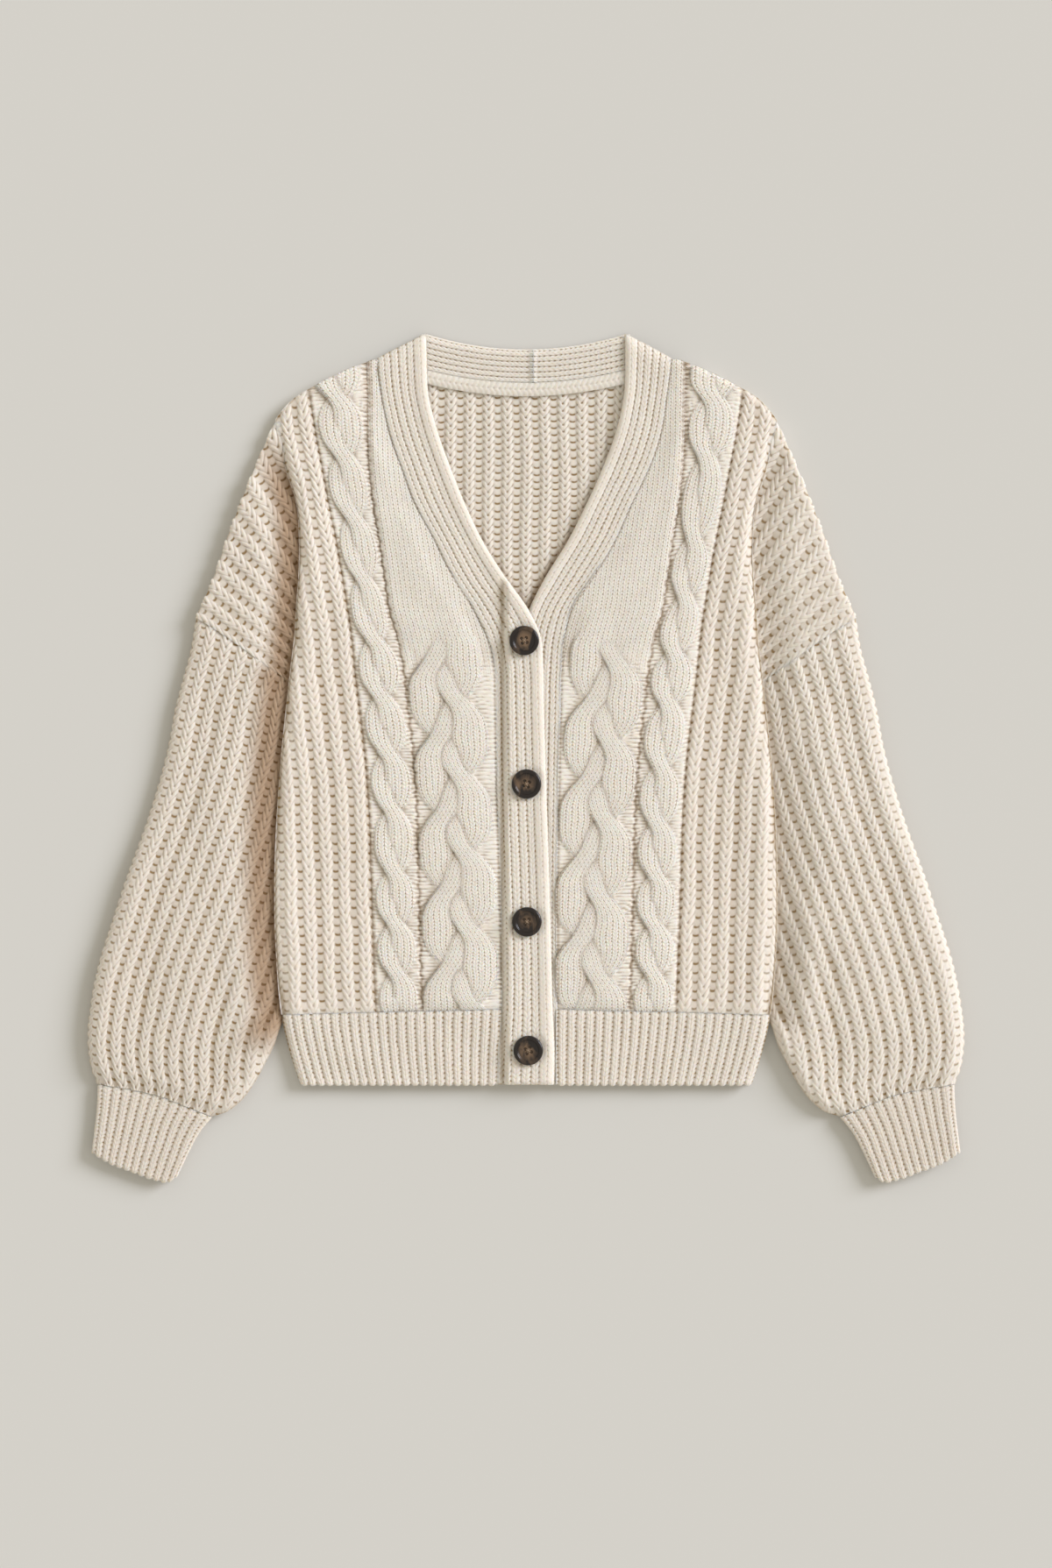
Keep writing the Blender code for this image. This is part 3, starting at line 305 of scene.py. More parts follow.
def zipped(fine, coarse):
    """Triangles between a fine row of vertices and a coarse one that has a vertex for every eighth of it."""
    half = COARSE // 2
    start = np.arange(len(coarse) - 1)[:, None] * COARSE
    left, right = coarse[:-1, None], coarse[1:, None]
    near, far = np.arange(half), np.arange(half, COARSE)
    first = np.stack(np.broadcast_arrays(left, fine[start + near + 1], fine[start + near]), -1)
    last = np.stack(np.broadcast_arrays(right, fine[start + far + 1], fine[start + far]), -1)
    middle = np.stack([left, right, fine[start + half]], -1)
    return np.concatenate([first, last, middle], axis=1).reshape(-1, 3)


def border(grid):
    """The four edges of a grid, as rows of vertex numbers."""
    return grid[0], grid[-1], grid[:, 0], grid[:, -1]


print("A side of two coarse cells has", even(0.0, 1.0, 2).size, "fine points")

# %% Edges that tuck under

def tucked(plan, amounts):
    """A copy of a grid of places with its edges moved inwards: first and last row, first and last column."""
    moved = plan.copy()
    for line, nearer, amount in zip((0, -1), (1, -2), amounts[:2]):
        moved[line] += unit(plan[nearer] - plan[line]) * amount
    for line, nearer, amount in zip((0, -1), (1, -2), amounts[2:]):
        moved[:, line] += unit(plan[:, nearer] - plan[:, line]) * amount
    return moved


# %% From arrays to an object

def make_object(name, points, faces, values=None, crisp=()):
    """An object from points in millimetres. Values are arrays for the first points, stored as attributes.

    An edge between two crisp points is shaded sharp, so that a seam doesn't look like a dark line.
    """
    mesh = bpy.data.meshes.new(name)
    places = (points - np.array([0.0, BOX_MIDDLE, 0.0])) * MM
    mesh.vertices.add(len(places))
    mesh.vertices.foreach_set("co", places.astype(np.float32).ravel())
    loops = np.concatenate([face.ravel() for face in faces])
    sizes = np.concatenate([np.full(len(face), face.shape[1]) for face in faces])
    mesh.loops.add(len(loops))
    mesh.loops.foreach_set("vertex_index", loops.astype(np.int32))
    mesh.polygons.add(len(sizes))
    mesh.polygons.foreach_set("loop_start", (np.cumsum(sizes) - sizes).astype(np.int32))
    mesh.update(calc_edges=True)
    for key, value in (values or {}).items():
        width = 1 if value.ndim == 1 else 3
        full = np.zeros((len(points), width), np.float32)
        full[: len(value)] = value.reshape(-1, width)
        kind, field = ("FLOAT", "value") if width == 1 else ("FLOAT_VECTOR", "vector")
        mesh.attributes.new(key, kind, "POINT").data.foreach_set(field, full.ravel())
    bm = bmesh.new()
    bm.from_mesh(mesh)
    bmesh.ops.recalc_face_normals(bm, faces=bm.faces)
    bm.to_mesh(mesh)
    bm.free()
    mesh.shade_smooth()
    ends = np.empty(2 * len(mesh.edges), np.int32)
    mesh.edges.foreach_get("vertices", ends)
    sharp = np.isin(ends, crisp).reshape(-1, 2).all(axis=1)
    mesh.attributes.new("sharp_edge", "BOOLEAN", "EDGE").data.foreach_set("value", sharp)
    return new_object(name, mesh)


def placed(side, plan, z):
    """Points of a grid on one side of the garment, as rows of x, y, z."""
    x, y = plan[..., 0] * side, plan[..., 1]
    return np.stack([x, y, np.broadcast_to(z, x.shape)], axis=-1).reshape(-1, 3)


# %% How deep each point lies
# A steep outer edge counts as no deeper than this. The padding keeps the blur from wrapping round the grid
DEEPEST, PADDING = 1.2, 16


def cavity(z, plan, reach):
    """How far each point lies below the mean of the surface around it, from a Gaussian blur of the grid."""
    rows, columns = z.shape
    along = np.linalg.norm(plan[1:, columns // 2] - plan[:-1, columns // 2], axis=-1).mean()
    across = np.linalg.norm(plan[rows // 2, 1:] - plan[rows // 2, :-1], axis=-1).mean()
    full = np.pad(z, PADDING, mode="edge")
    rate_v, rate_u = np.fft.fftfreq(full.shape[0])[:, None], np.fft.rfftfreq(full.shape[1])[None]
    spread = (rate_v * reach / along) ** 2 + (rate_u * reach / across) ** 2
    blurred = np.fft.irfft2(np.fft.rfft2(full) * np.exp(-2 * np.pi**2 * spread), full.shape)
    return np.minimum(blurred[PADDING:-PADDING, PADDING:-PADDING] - z, DEEPEST).ravel()


def stored(plan, z, stitches, reach, painted_shade):
    """What the materials read at each point of a top: how deep it lies, how much extra painted shade it gets,
    its stitch counts.
    """
    counts = np.zeros((*z.shape, 3)) if stitches is None else np.stack(stitches, axis=-1)
    tint = (painted_shade + 0 * z).ravel()
    return {"cavity": cavity(z, plan, reach), "painted_shade": tint, "stitch": counts.reshape(-1, 3)}


# %% Panels and tubes
# How far apart the two inner faces of a tube are at the ends of its slit
SLIT_END = 0.4


def panel(name, side, plan, z, under, tuck, stitches=None, reach=5.0, painted_shade=0.0):
    """A closed panel: a worked top over a plain underside that is tucked in along its edges.

    Under is the underside's height, or a function that gives it at each place.
    """
    low_plan = tucked(plan[::COARSE, ::COARSE], tuck)
    low_z = under(low_plan[..., 0], low_plan[..., 1]) if callable(under) else under
    top = np.arange(z.size).reshape(z.shape)
    low = z.size + np.arange(low_plan.size // 2).reshape(low_plan.shape[:2])
    faces = [quads(top), quads(low, flip=True)]
    faces += [zipped(fine, coarse) for fine, coarse in zip(border(top), border(low))]
    points = np.vstack([placed(side, plan, z), placed(side, low_plan, low_z)])
    values = stored(plan, z, stitches, reach, painted_shade)
    return make_object(name, points, faces, values, np.concatenate(border(top)))


def tube(name, side, plan, z, tuck, inner, stitches, reach=5.0, painted_shade=0.0):
    """A flattened tube of cloth: a worked top, a flat underside and an inner skin, open at both ends.

    Inner gives three sizes: the lower wall's thickness, how far the two inner faces bulge apart over it, and
    how far they keep from the long edges, as a share of the width.
    """
    skin, slit, inset = inner
    coarse = plan[::COARSE, ::COARSE]
    low_plan = tucked(coarse, tuck)
    share = np.linspace(inset, 1 - inset, coarse.shape[1])[:, None]
    inner_plan = coarse[:, :1] + (coarse[:, -1:] - coarse[:, :1]) * share
    count = coarse.shape[0] * coarse.shape[1]
    top = np.arange(z.size).reshape(z.shape)
    low, floor, roof = (z.size + n * count + np.arange(count).reshape(coarse.shape[:2]) for n in range(3))
    bulge = np.sin(np.pi * np.linspace(0, 1, coarse.shape[1])) ** 0.5
    points = [placed(side, plan, z), placed(side, low_plan, 0.0), placed(side, inner_plan, skin)]
    points.append(placed(side, inner_plan, skin + SLIT_END + slit * bulge[None]))
    faces = [quads(top), quads(low, flip=True), quads(floor), quads(roof, flip=True)]
    faces += [zipped(top[:, end], low[:, end]) for end in (0, -1)]
    faces += [zipped(top[end], roof[end]) for end in (0, -1)]
    for end in (0, -1):
        faces.append(quads(np.stack([low[end], floor[end]])))
        faces.append(quads(np.stack([floor[:, end], roof[:, end]])))
        for corner in (0, -1):
            ring = [top[end, corner], low[end, corner], floor[end, corner], roof[end, corner]]
            faces.append(np.array([ring]))
    values = stored(plan, z, stitches, reach, painted_shade)
    return make_object(name, np.vstack(points), faces, values, np.concatenate(border(top)))


print("Each coarse cell of an underside lies below", COARSE**2, "fine cells of the top")

# %% [markdown]
# ## Stitches as heights
#
# A knitted column is a pile of V shapes: each V is two legs of yarn that run from the middle of the column up
# and out. Seen as a height, the column is a round bar, a leg is a ridge on a slanting line of it, and where
# two legs part there is a small pit. Between two columns lies the purl side, a sunken ladder with a curved
# slit in each row. A displacement picture could hold all that, but would blur close up. One function of two
# counts gives it sharply at any size, one count across the columns and one up the rows.

# %% The rib stitch
# How far a slit's ends bend up, and how far a leg leans, in rows
RIB_BEND, RIB_LEAN = 4.0, 3.4


def rib(columns, rows, half=0.33, lean=RIB_LEAN, twist=0.36, crease=0.14, pit=0.3, ladder=0.4, slit=0.22):
    """Height from 0 to 1 of knitted columns with a gap at each whole count.

    A bar is half a flattened ellipse, from the column's middle to half. Its legs are |sin| of a row count
    that leans with the distance from the middle, and push its edges out. A crease runs up its middle, with a
    pit in each row. The ladder in the gap is |sin| of the rows half a row on, bent up at both ends, so it has
    a slit in each row.
    """
    from_middle = np.abs(columns - np.floor(columns) - 0.5)
    leg = np.abs(np.sin(np.pi * (rows - lean * from_middle))) ** 0.8
    reach = np.clip(from_middle / (half + 0.08 * (leg - 0.6)), 0.0, 1.0)
    centre = hump(from_middle, 0.075)
    holes = (1 - np.abs(np.sin(np.pi * rows))) ** 2
    bar = np.sqrt(1.0 - reach**2.6) * (1 - twist * (1 - leg) - centre * (crease + pit * holes))
    bent = rows - 0.5 - RIB_BEND * (0.5 - from_middle) ** 2
    return np.maximum(bar, ladder - slit * (1 - np.abs(np.sin(np.pi * bent)) ** 0.5))


print("A rib is", round(float(rib(0.36, 0.0)), 2), "high, and its gap", round(float(rib(0.0, 0.0)), 2))

# %% [markdown]
# ## Ribs, rope cables and plaits of a front
#
# A cable is made by crossing groups of stitches, so its strands swing past each other like the strands of a
# rope. The side cable has two strands that swing as cosines half a turn apart. The plait has three, a third
# of a turn apart, and a strand rises as it goes over and sinks as it goes under. At each point the highest
# strand wins. Beside the cables the purl side shows, as a ladder of small bars.

# %% Sizes of the cables
# How far a strand swings out and its half width, as shares of the side cable's width
ROPE_SWING, ROPE_STRAND = 0.155, 0.285
# How high a strand bulges, and how much it rises where it goes over
ROPE_HEIGHT, ROPE_OVER = 2.0, 0.75
PLAIT_HEIGHT, PLAIT_OVER = 2.05, 0.8
# How far the plait's strands swing, and their half widths at the sides and where they cross
PLAIT_SWING, PLAIT_SIDE, PLAIT_CROSS = 19.0, 17.6, 11.6
# Where the plait grows out of the plain knit, over which height, its first crossing and the pitch of them
PLAIT_TOP, PLAIT_BLEND, PLAIT_FIRST = 116.0, 16.0, 109.0
PLAIT_CROSSING = {-1: 36.6, 1: 37.9}
# Knitted columns across half a strand, and the width of a column and height of a row of the plain knit
ROPE_COLUMNS, PLAIT_COLUMNS = 2.0, 3.0
COLUMN, ROW = 4.6, 3.3
# How softly a strand runs into the ground beside it, and a height below any strand
MERGE, BELOW = 1.2, -9.0
# Pitch of the purl bars beside a cable, and how far they bend towards its crossings
LASH, LASH_BEND = 3.9, 6.5
print("A rope's strand is up to", ROPE_HEIGHT + 2 * ROPE_OVER, "mm high where it goes over")

# %% Where the strands run

def lingering(angle):
    """A sine that stays longer at its ends and hurries through its middle."""
    return (np.sin(angle) + 0.13 * np.sin(3 * angle)) / 0.95


def hurried(angle):
    """A sine for three strands: it hurries at 30 degrees each side of its middle, where two strands cross."""
    return (np.sin(angle) - 0.03 * np.sin(3 * angle) - 0.09 * np.sin(5 * angle)) / 0.95


def rope_turns(side, y):
    """How many crossings lie above a height, with the fractions between them."""
    marks = np.array(CROSSINGS[side], float)[::-1]
    turns = np.arange(len(marks), dtype=float)[::-1]
    lead = marks[1] - marks[0]
    knots = np.concatenate([[marks[0] - lead], marks, [marks[-1] + lead]])
    return np.interp(y, knots, np.concatenate([[turns[0] + 1], turns, [-1.0]]))


def rope_strands(side, y):
    """Both strands of the side cable: middle, half width, level, column count there and across half of it."""
    width = body(CABLE_OUTER, y) - body(CABLE_INNER, y)
    phase = np.pi * (rope_turns(side, y) + 1.0)
    swing = side * ROPE_SWING * width * lingering(phase)
    middle = (body(CABLE_OUTER, y) + body(CABLE_INNER, y)) / 2
    over = ROPE_OVER * np.cos(phase)
    half = ROPE_STRAND * width * (1 - 0.26 * np.cos(phase) ** 2)
    first = middle + swing, half, ROPE_OVER + over, 0.0, ROPE_COLUMNS
    return first, (middle - swing, half, ROPE_OVER - over, 0.5, ROPE_COLUMNS)


def plait_turns(side, y):
    return (PLAIT_FIRST - y) / PLAIT_CROSSING[side]


def plait_strands(side, y):
    """The plait's three strands, as the rope's. Their columns go on from the plain knit's above."""
    room = body(CABLE_INNER, PLAIT_TOP) - body(PLAIT_MIDDLE, PLAIT_TOP)
    strands = []
    for strand in range(3):
        angle, top = (2 * np.pi * (plait_turns(side, at) / 6 + strand / 3) for at in (y, PLAIT_TOP))
        start = (room - PLAIT_SWING * hurried(top)) / COLUMN
        half = mix(PLAIT_CROSS, PLAIT_SIDE, np.sin(angle) ** 4)
        middle = body(PLAIT_MIDDLE, y) + PLAIT_SWING * hurried(angle)
        strands.append((middle, half, PLAIT_OVER * (1 + np.sin(2 * angle)), start, -PLAIT_COLUMNS))
    return strands


print("The plaits cross", round(float(plait_turns(-1, -243.0))), "times above the hem")

# %% How the strands make a surface

def highest(side, strands, s, height):
    """Height of the highest strand at each point, and its column count there.

    A strand is half a flattened ellipse across, raised by its level. One that goes over leans to the
    wearer's left, so it ends in a crisp edge on one side and flows into its neighbour on the other.
    """
    best, column = np.full_like(s, BELOW), np.zeros_like(s)
    for middle, half, level, start, columns in strands:
        across = (s - middle) / half
        bulge = np.sqrt(np.maximum(1.0 - np.abs(across) ** 2.4, 0.0))
        z = level + height * bulge - side * across * level / (2 * ROPE_OVER)
        z = np.where(bulge > 0, z, BELOW)
        column = np.where(z > best, start + across * columns, column)
        best = np.maximum(best, z)
    return best, column


def merged(a, b, softness):
    """The higher of two surfaces, rounded where they meet: half their sum and a softened half difference."""
    return (a + b + np.sqrt((a - b) ** 2 + softness**2)) / 2


def lashes(y, spread, bend):
    """The purl bars beside a cable, from 0 to 1. They crowd together where the cable is pinched."""
    return np.abs(np.sin(np.pi * (y + LASH_BEND * spread * bend) / LASH)) ** 0.8


print("Two equal surfaces merge", merged(0.0, 0.0, MERGE), "mm above themselves")

# %% [markdown]
# ## The fronts
#
# Each front is one panel of thick ribs, a side cable, plain knit and a plait, from the hem to the shoulder.
# The grid's rows run from the band's seam out to the side, and higher up to the shoulder, so its columns
# follow the cables. The ribs at the armhole belong to the dropped shoulder, which is folded back under the
# side of the body, so it is a panel of its own that runs on under the fold.

# %% Sizes of the fronts
# Heights: the back's top at its hem, the underside of the hems and bands, the front's underside and its top
BACK_WALL = 5.6
FRONT_UNDER, FRONT_LOW, FRONT_TOP = 6.0, 3.6, 11.0
# The thick ribs: how high and how far apart they are, how tall a row is, and the level of their gaps
RIB_HEIGHT, RIB_PITCH, RIB_ROW, RIB_FLOOR = 2.6, 17.2, 8.9, -0.5
# How dark the painted shade in their slits is, and how much painted shade they get all over: they are loose
# and shade themselves
FRONT_SLITS, RIB_DIM = 0.68, 0.17
# Height of the purl bars beside the side cable and beside the plait, and the levels that they stand on
ROPE_BARS, ROPE_GROUND = 1.2, 0.1
PLAIT_BARS, PLAIT_GROUND = 1.3, 1.1
# The plain knit's level, and how far it falls towards the side cable and towards the band
PLAIN, CABLE_FALL, BAND_FALL = 3.0, 1.4, 3.0
# The point that the dropped shoulder's ribs fan out from, and where the fold beside the body ends
FAN_PIVOT = (32.8, -67.8)
FOLD_TOP, FOLD_LOW = 321.0, 70.4
# In degrees, the angle of one end of the fan and of each rib, and the count of ribs at that end
FAN_ARMHOLE, FAN_RIB, FAN_RIBS = 35.2, 2.8, 11.5
# The hem's seam: its height at the middle and at the side, and how far out its side end is
HEM_TOP_MIDDLE, HEM_TOP_SIDE, HEM_SIDE_TOP = -243.0, -249.0, 233.5
# The hem's open end: its height, how far out its side is, and how late the side draws in
HEM_END, HEM_SIDE_END, HEM_DRAW = -316.0, 216.5, 1.3
# Width and depth of the shoulders' rounded outer edge, and of the groove at the armhole's seam
ROUNDED, ARMHOLE_GROOVE = (7.0, 2.6), (5.0, 0.8)
# The least height of a top over its underside
THINNEST = 0.8
SHOULDER_LINE = spline(SHOULDER, 120)
ARMHOLE_LINE = spline(ARMHOLE, 60)
print("The shoulder's edge is", round(lengths(SHOULDER_LINE)[-1]), "mm long")

# %% Edges of the body

def hem_seam(s):
    return np.interp(np.abs(s), (0.0, HEM_SIDE_TOP), (HEM_TOP_MIDDLE, HEM_TOP_SIDE))


def shoulder(y):
    """How far out the shoulder's edge is at a height."""
    return np.interp(y, SHOULDER_LINE[::-1, 1], SHOULDER_LINE[::-1, 0])


def front_edge(y):
    """The outer edge of the front panel: the side or the fold, and above them the shoulder."""
    return np.where(y > FOLD_TOP, np.minimum(shoulder(y), body(SIDE, y)), body(SIDE, y))


print("The front reaches", round(float(front_edge(350.0))), "mm out near the top")

# %% Counting ribs and rows

def fan_counts(s, y):
    """Ribs and rows of the dropped shoulder, counted by angle and by distance round the fan's pivot."""
    angle = np.degrees(np.arctan2(y - FAN_PIVOT[1], s - FAN_PIVOT[0]))
    return FAN_RIBS - (angle - FAN_ARMHOLE) / FAN_RIB, np.hypot(s - FAN_PIVOT[0], y - FAN_PIVOT[1]) / RIB_ROW


def uneven(s, y, seed):
    """How far the counts of ribs stray, over a hand's width and over a finger's."""
    return 0.035 * wander(s, y, 70.0, seed) + 0.03 * wander(s, y, 24.0, seed + 1)


def rib_counts(s, y):
    """Ribs and rows outside the side cable, counted from its outer edge, which they follow."""
    upright = (s - body(CABLE_OUTER, y)) / RIB_PITCH
    return upright + uneven(s, y, 15), y / RIB_ROW + 3 * uneven(s, y, 3)


print("Beside the side cable are", round(float(rib_counts(body(SIDE, 0.0), 0.0)[0]), 1), "ribs")

# %% The cables with their purl bars

def side_cable(side, s, y, stray):
    """Height of the side cable and of the purl bars beside it, and the cable's column count."""
    inner, outer = body(CABLE_INNER, y), body(CABLE_OUTER, y)
    reach = np.clip(np.abs(2 * s - inner - outer) / (outer - inner), 0.0, 1.0)
    bars = lashes(y + stray, 1 - reach, -np.sin(2 * np.pi * rope_turns(side, y)))
    rope, column = highest(side, rope_strands(side, y), s, ROPE_HEIGHT)
    return rope, ROPE_BARS * bars * step(0.35, 0.6, reach) + ROPE_GROUND, column


def plait(side, s, y, stray):
    """Height of the plait and of the purl bars beside it, and the plait's column count."""
    inner, middle = body(CABLE_INNER, y), body(PLAIT_MIDDLE, y)
    reach = np.clip(np.abs(s - middle) / (inner - middle), 0.0, 1.0)
    turns = np.pi * (plait_turns(side, y) - 0.5 + (s < middle))
    bars = PLAIT_BARS * lashes(y + stray, 1 - reach, -np.sin(turns)) * step(0.45, 0.65, reach)
    strands, column = highest(side, plait_strands(side, y), s, PLAIT_HEIGHT)
    return strands, bars + PLAIT_GROUND * step(0.7, 0.5, reach), column


# %% The rows of small holes beside the cables
HOLE_PITCH = 4.6


def holes_along(away, width, least, beads):
    """A row of pits: a bell curve across it and beads along it, with no less than a least depth between."""
    return hump(away, width) * (least + (1 - least) * beads)


def small_holes(side, s, y, drift):
    """The rows of pits on both sides of the side cable and along the band: how deep they are, and how much
    painted shade darkens them.

    The inner row wobbles, and widens to eyelets towards the shoulder.
    """
    seam, inner, outer = band_seam(side, y), body(CABLE_INNER, y), body(CABLE_OUTER, y)
    beads = np.abs(np.sin(np.pi * (y + 1.5 * drift) / HOLE_PITCH))
    wide_beads = np.abs(np.sin(np.pi * (y + drift) / RIB_ROW))
    wobble = 0.9 * np.sin(2 * np.pi * (y + 3 * drift) / 13.0)
    from_inner = (s - inner - wobble) / (1.0 + 1.6 * step(235.0, 340.0, y))
    deep = (1.2 + 0.4 * drift) * holes_along(from_inner, 1.4, 0.35, beads) * (s < outer)
    deep = deep + 1.4 * holes_along(s - outer, 1.5, 0.3, wide_beads)
    deep = np.maximum(deep, holes_along(s - seam, 1.4, 0.4, beads))
    dark = 0.6 * hump(from_inner, 1.5) * beads * (s < outer) + 0.5 * hump(s - outer, 1.5) * wide_beads
    return deep, dark + 0.5 * hump(s - seam, 1.3) * beads


# %% The front's surface

def front_relief(side, s, y):
    """Height over the front's plain level, its stitch counts, and how much painted shade it gets.

    Outwards from the band lie the plain knit or the plait, the side cable and the thick ribs.
    """
    seam, inner, outer = band_seam(side, y), body(CABLE_INNER, y), body(CABLE_OUTER, y)
    drift = wander(s, y, 45.0, 5)
    stray = 0.8 * drift + 0.7 * wander(s, y, 15.0, 9)
    counts, rows = rib_counts(s, y)
    ribs = RIB_FLOOR + RIB_HEIGHT * rib(counts, rows)
    rope, rope_bars, rope_column = side_cable(side, s, y, stray)
    strands, plait_bars, plait_column = plait(side, s, y, stray)

    # The plait grows out of the plain knit, and its purl bars begin a little lower
    grown = step(PLAIT_TOP + PLAIT_BLEND / 2, PLAIT_TOP - PLAIT_BLEND, y)
    spread_out = step(PLAIT_TOP, PLAIT_TOP - 3 * PLAIT_BLEND, y)
    fall = drawn_in(inner - s, 7.0, CABLE_FALL) + drawn_in(s - seam, 24.0, BAND_FALL)
    plain = PLAIN + 0.5 * drift - fall
    plait_bars = mix(plain, plait_bars, spread_out)
    inside = mix(plain, merged(plait_bars, strands, MERGE), grown)
    z = np.where(s > outer, ribs, np.where(s > inner, merged(rope_bars, rope, MERGE), inside))

    # The ground between the purl bars gets painted shade near the cable's inner line, and the thick ribs get
    # a little all over
    deep, dark = small_holes(side, s, y, drift)
    rope_gaps, plait_gaps = step(1.0, 0.6, rope_bars) * (s > inner), step(1.0, 0.6, plait_bars) * (s <= inner)
    between = 0.4 * (rope_gaps + plait_gaps * spread_out) * hump(s - inner, 7.0)
    dark = dark + between * (s < outer) + RIB_DIM * (s > outer)

    plaited = (grown > 0.4) & (strands > plait_bars)
    column = np.where(s > inner, rope_column, np.where(plaited, plait_column, (inner - s) / COLUMN))
    fine = np.where(s > inner, rope > rope_bars, np.maximum(plaited, 1.0 - spread_out))
    column, row = np.where(s > outer, counts, column), np.where(s > outer, rows, y / ROW)
    return z - deep, (column, row, np.where(s > outer, -FRONT_SLITS, fine)), dark


# %% The front's grid
SIDE_LINE = np.array([(float(body(SIDE, y)), y) for y in np.arange(-250.0, FOLD_TOP, 12.0)])
FRONT_ROWS, FRONT_COLUMNS, FRONT_UP = 55, 23, 379.5


def front_plan(side):
    """The front panel's grid: rows up the body, each from the band's seam to the outer edge."""
    y = even(HEM_TOP_MIDDLE + 0.05, FRONT_UP, FRONT_ROWS)[:, None]
    s = mix(band_seam(side, y) - 1.5, front_edge(y) + 0.8, even(0.0, 1.0, FRONT_COLUMNS)[None])
    drop = (hem_seam(s) - HEM_TOP_MIDDLE) * step(-180.0, HEM_TOP_MIDDLE, y)
    return np.stack([s, y + drop], -1)


print("A front's grid is", front_plan(1).shape[:2], "points")

# %% The front's height

def front_z(side, s, y):
    """The front's height: its relief, flatter at the hem, less the fall to the side, shoulder and seams."""
    relief, stitches, dark = front_relief(side, s, y)
    above_hem, away = y - hem_seam(s), distance(s, y, SIDE_LINE)
    z = FRONT_TOP + relief * mix(0.4, 1.0, step(0.0, 11.0, above_hem)) + 0.7 * wander(s, y, 130.0, 6 + side)
    z += (2.2 * hump(away - 14.0, 16.0) - fallen(away, 11.0, 5.4)) * step(FOLD_TOP, FOLD_TOP - 40.0, y)
    z -= fallen(distance(s, y, SHOULDER_LINE), *ROUNDED) + drawn_in(above_hem, 4.0, 0.5)
    return np.maximum(z, FRONT_UNDER + THINNEST), stitches, dark


# %% Make the fronts
pieces = {}


def wearer(side):
    return "right" if side < 0 else "left"


for side in (-1, 1):
    plan = front_plan(side)
    z, stitches, dark = front_z(side, plan[..., 0], plan[..., 1])
    name = f"front_{wearer(side)}"
    # Each front carries painted shade in its small holes, beside its cables and over its thick ribs
    pieces[name] = panel(name, side, plan, z, FRONT_LOW, (1.5, 1.5, 1.0, 2.5), stitches, painted_shade=dark)
    print(name, "has", len(pieces[name].data.polygons), "faces")

# %% [markdown]
# ## The dropped shoulders
#
# Where the ribs of the shoulder turn back under the body they lie lower, in the fold's shade. The grid has
# three sides: the fold, the shoulder's edge and the armhole, and its rows shorten to the top, where fold and
# edge meet. The ribs fan out round one point.

# %% The dropped shoulders' grid
# How much painted shade darkens the hollows beside the body: the upper front's side lies deeper
FOLD_SHADE = {-1: 1.0, 1: 0.16}
# How much a whole shoulder and sleeve is tinted: the one away from the light is dimmer
DIM = {-1: 0.13, 1: 0.06}
# How dark the painted shade in the slits of the shoulders' and sleeves' ribs is
SLITS_DARK = {-1: 0.92, 1: 0.66}


def pushed(plan, amount):
    """A copy of a grid of places whose last columns move outwards by an amount, so that its edge is bumpy."""
    way = unit(plan[:, -1] - plan[:, -1 - COARSE])
    share = np.linspace(0.0, 1.0, plan.shape[1]) ** 24
    return plan + way[:, None] * (amount * share)[..., None]


def shoulder_plan():
    """The shoulder's grid: rows from the armhole up, each from the fold out to the shoulder's edge."""
    v, u = even(0.0, 1.0, 21)[:, None, None], even(0.0, 1.0, 12)[:, None]
    fold_y = even(FOLD_LOW, FOLD_TOP - 2.0, 21)
    fold = np.column_stack([body(SIDE, fold_y) - 5.0, fold_y])
    outer = spline(SHOULDER[4:][::-1], v.size)
    bend = spline(ARMHOLE[::-1], u.size) - mix(fold[0], outer[0], u)
    return mix(fold[:, None], outer[:, None], u) + bend * (1 - v) ** 3


print("A shoulder's grid is", shoulder_plan().shape[:2], "points")

# %% Make the dropped shoulders
SHOULDER_UNDER = 3.0

for side in (-1, 1):
    plan = shoulder_plan()
    s, y = plan[..., 0], plan[..., 1]
    counts, rows = fan_counts(s, y)
    counts, rows = counts + uneven(s, y, 25), rows + 3 * uneven(s, y, 3)
    knit = rib(counts, rows)
    plan = pushed(plan, 2.0 * (knit - 0.5))
    beyond = s - body(SIDE, y)
    dip = drawn_in(beyond, 44.0, 5.4) * step(FOLD_TOP, FOLD_TOP - 60.0, y)
    z = FRONT_TOP + RIB_FLOOR + RIB_HEIGHT * knit - dip + 2.6 * step(0.0, 40.0, beyond)
    z += 0.8 * wander(s, y, 90.0, 8) - fallen(distance(s, y, SHOULDER_LINE), *ROUNDED)
    z = np.maximum(z - drawn_in(distance(s, y, ARMHOLE_LINE), *ARMHOLE_GROOVE), SHOULDER_UNDER + THINNEST)
    # Painted shade: dark in the fold beside the body, and a little over the rest of the shoulder, more on the
    # side away from the light
    painted_shading = FOLD_SHADE[side] * (1 - step(12.0, 36.0, beyond)) * step(FOLD_TOP, FOLD_TOP - 70.0, y)
    painted_shading = np.maximum(painted_shading, DIM[side] * step(FOLD_TOP, FOLD_TOP - 90.0, y))
    name, stitches = f"shoulder_{wearer(side)}", (counts, rows, 0 * s - SLITS_DARK[side])
    pieces[name] = panel(name, side, plan, z, SHOULDER_UNDER, (1.5, 0.3, 1.0, 2.5), stitches, painted_shade=painted_shading)
    print(name, "has", len(pieces[name].data.polygons), "faces")

# %% [markdown]
# ## The back
#
# Only its inner face shows, in the neck opening, with the same thick ribs seen from their other side. The
# grid's columns are close together there and wide apart under the fronts, where nothing shows.

# %% The back's grid
OPENING_HALF, OPENING_LOW, BACK_TOP = 104.0, 118.0, 369.0
NECK_LOW_MIDDLE, NECK_TOP_MIDDLE, NECK_TOP_SIDE, NECK_HALF = 357.0, 390.0, 404.5, 95.0
NECK_RIB_PITCH, NECK_ROW = 18.1, 7.2


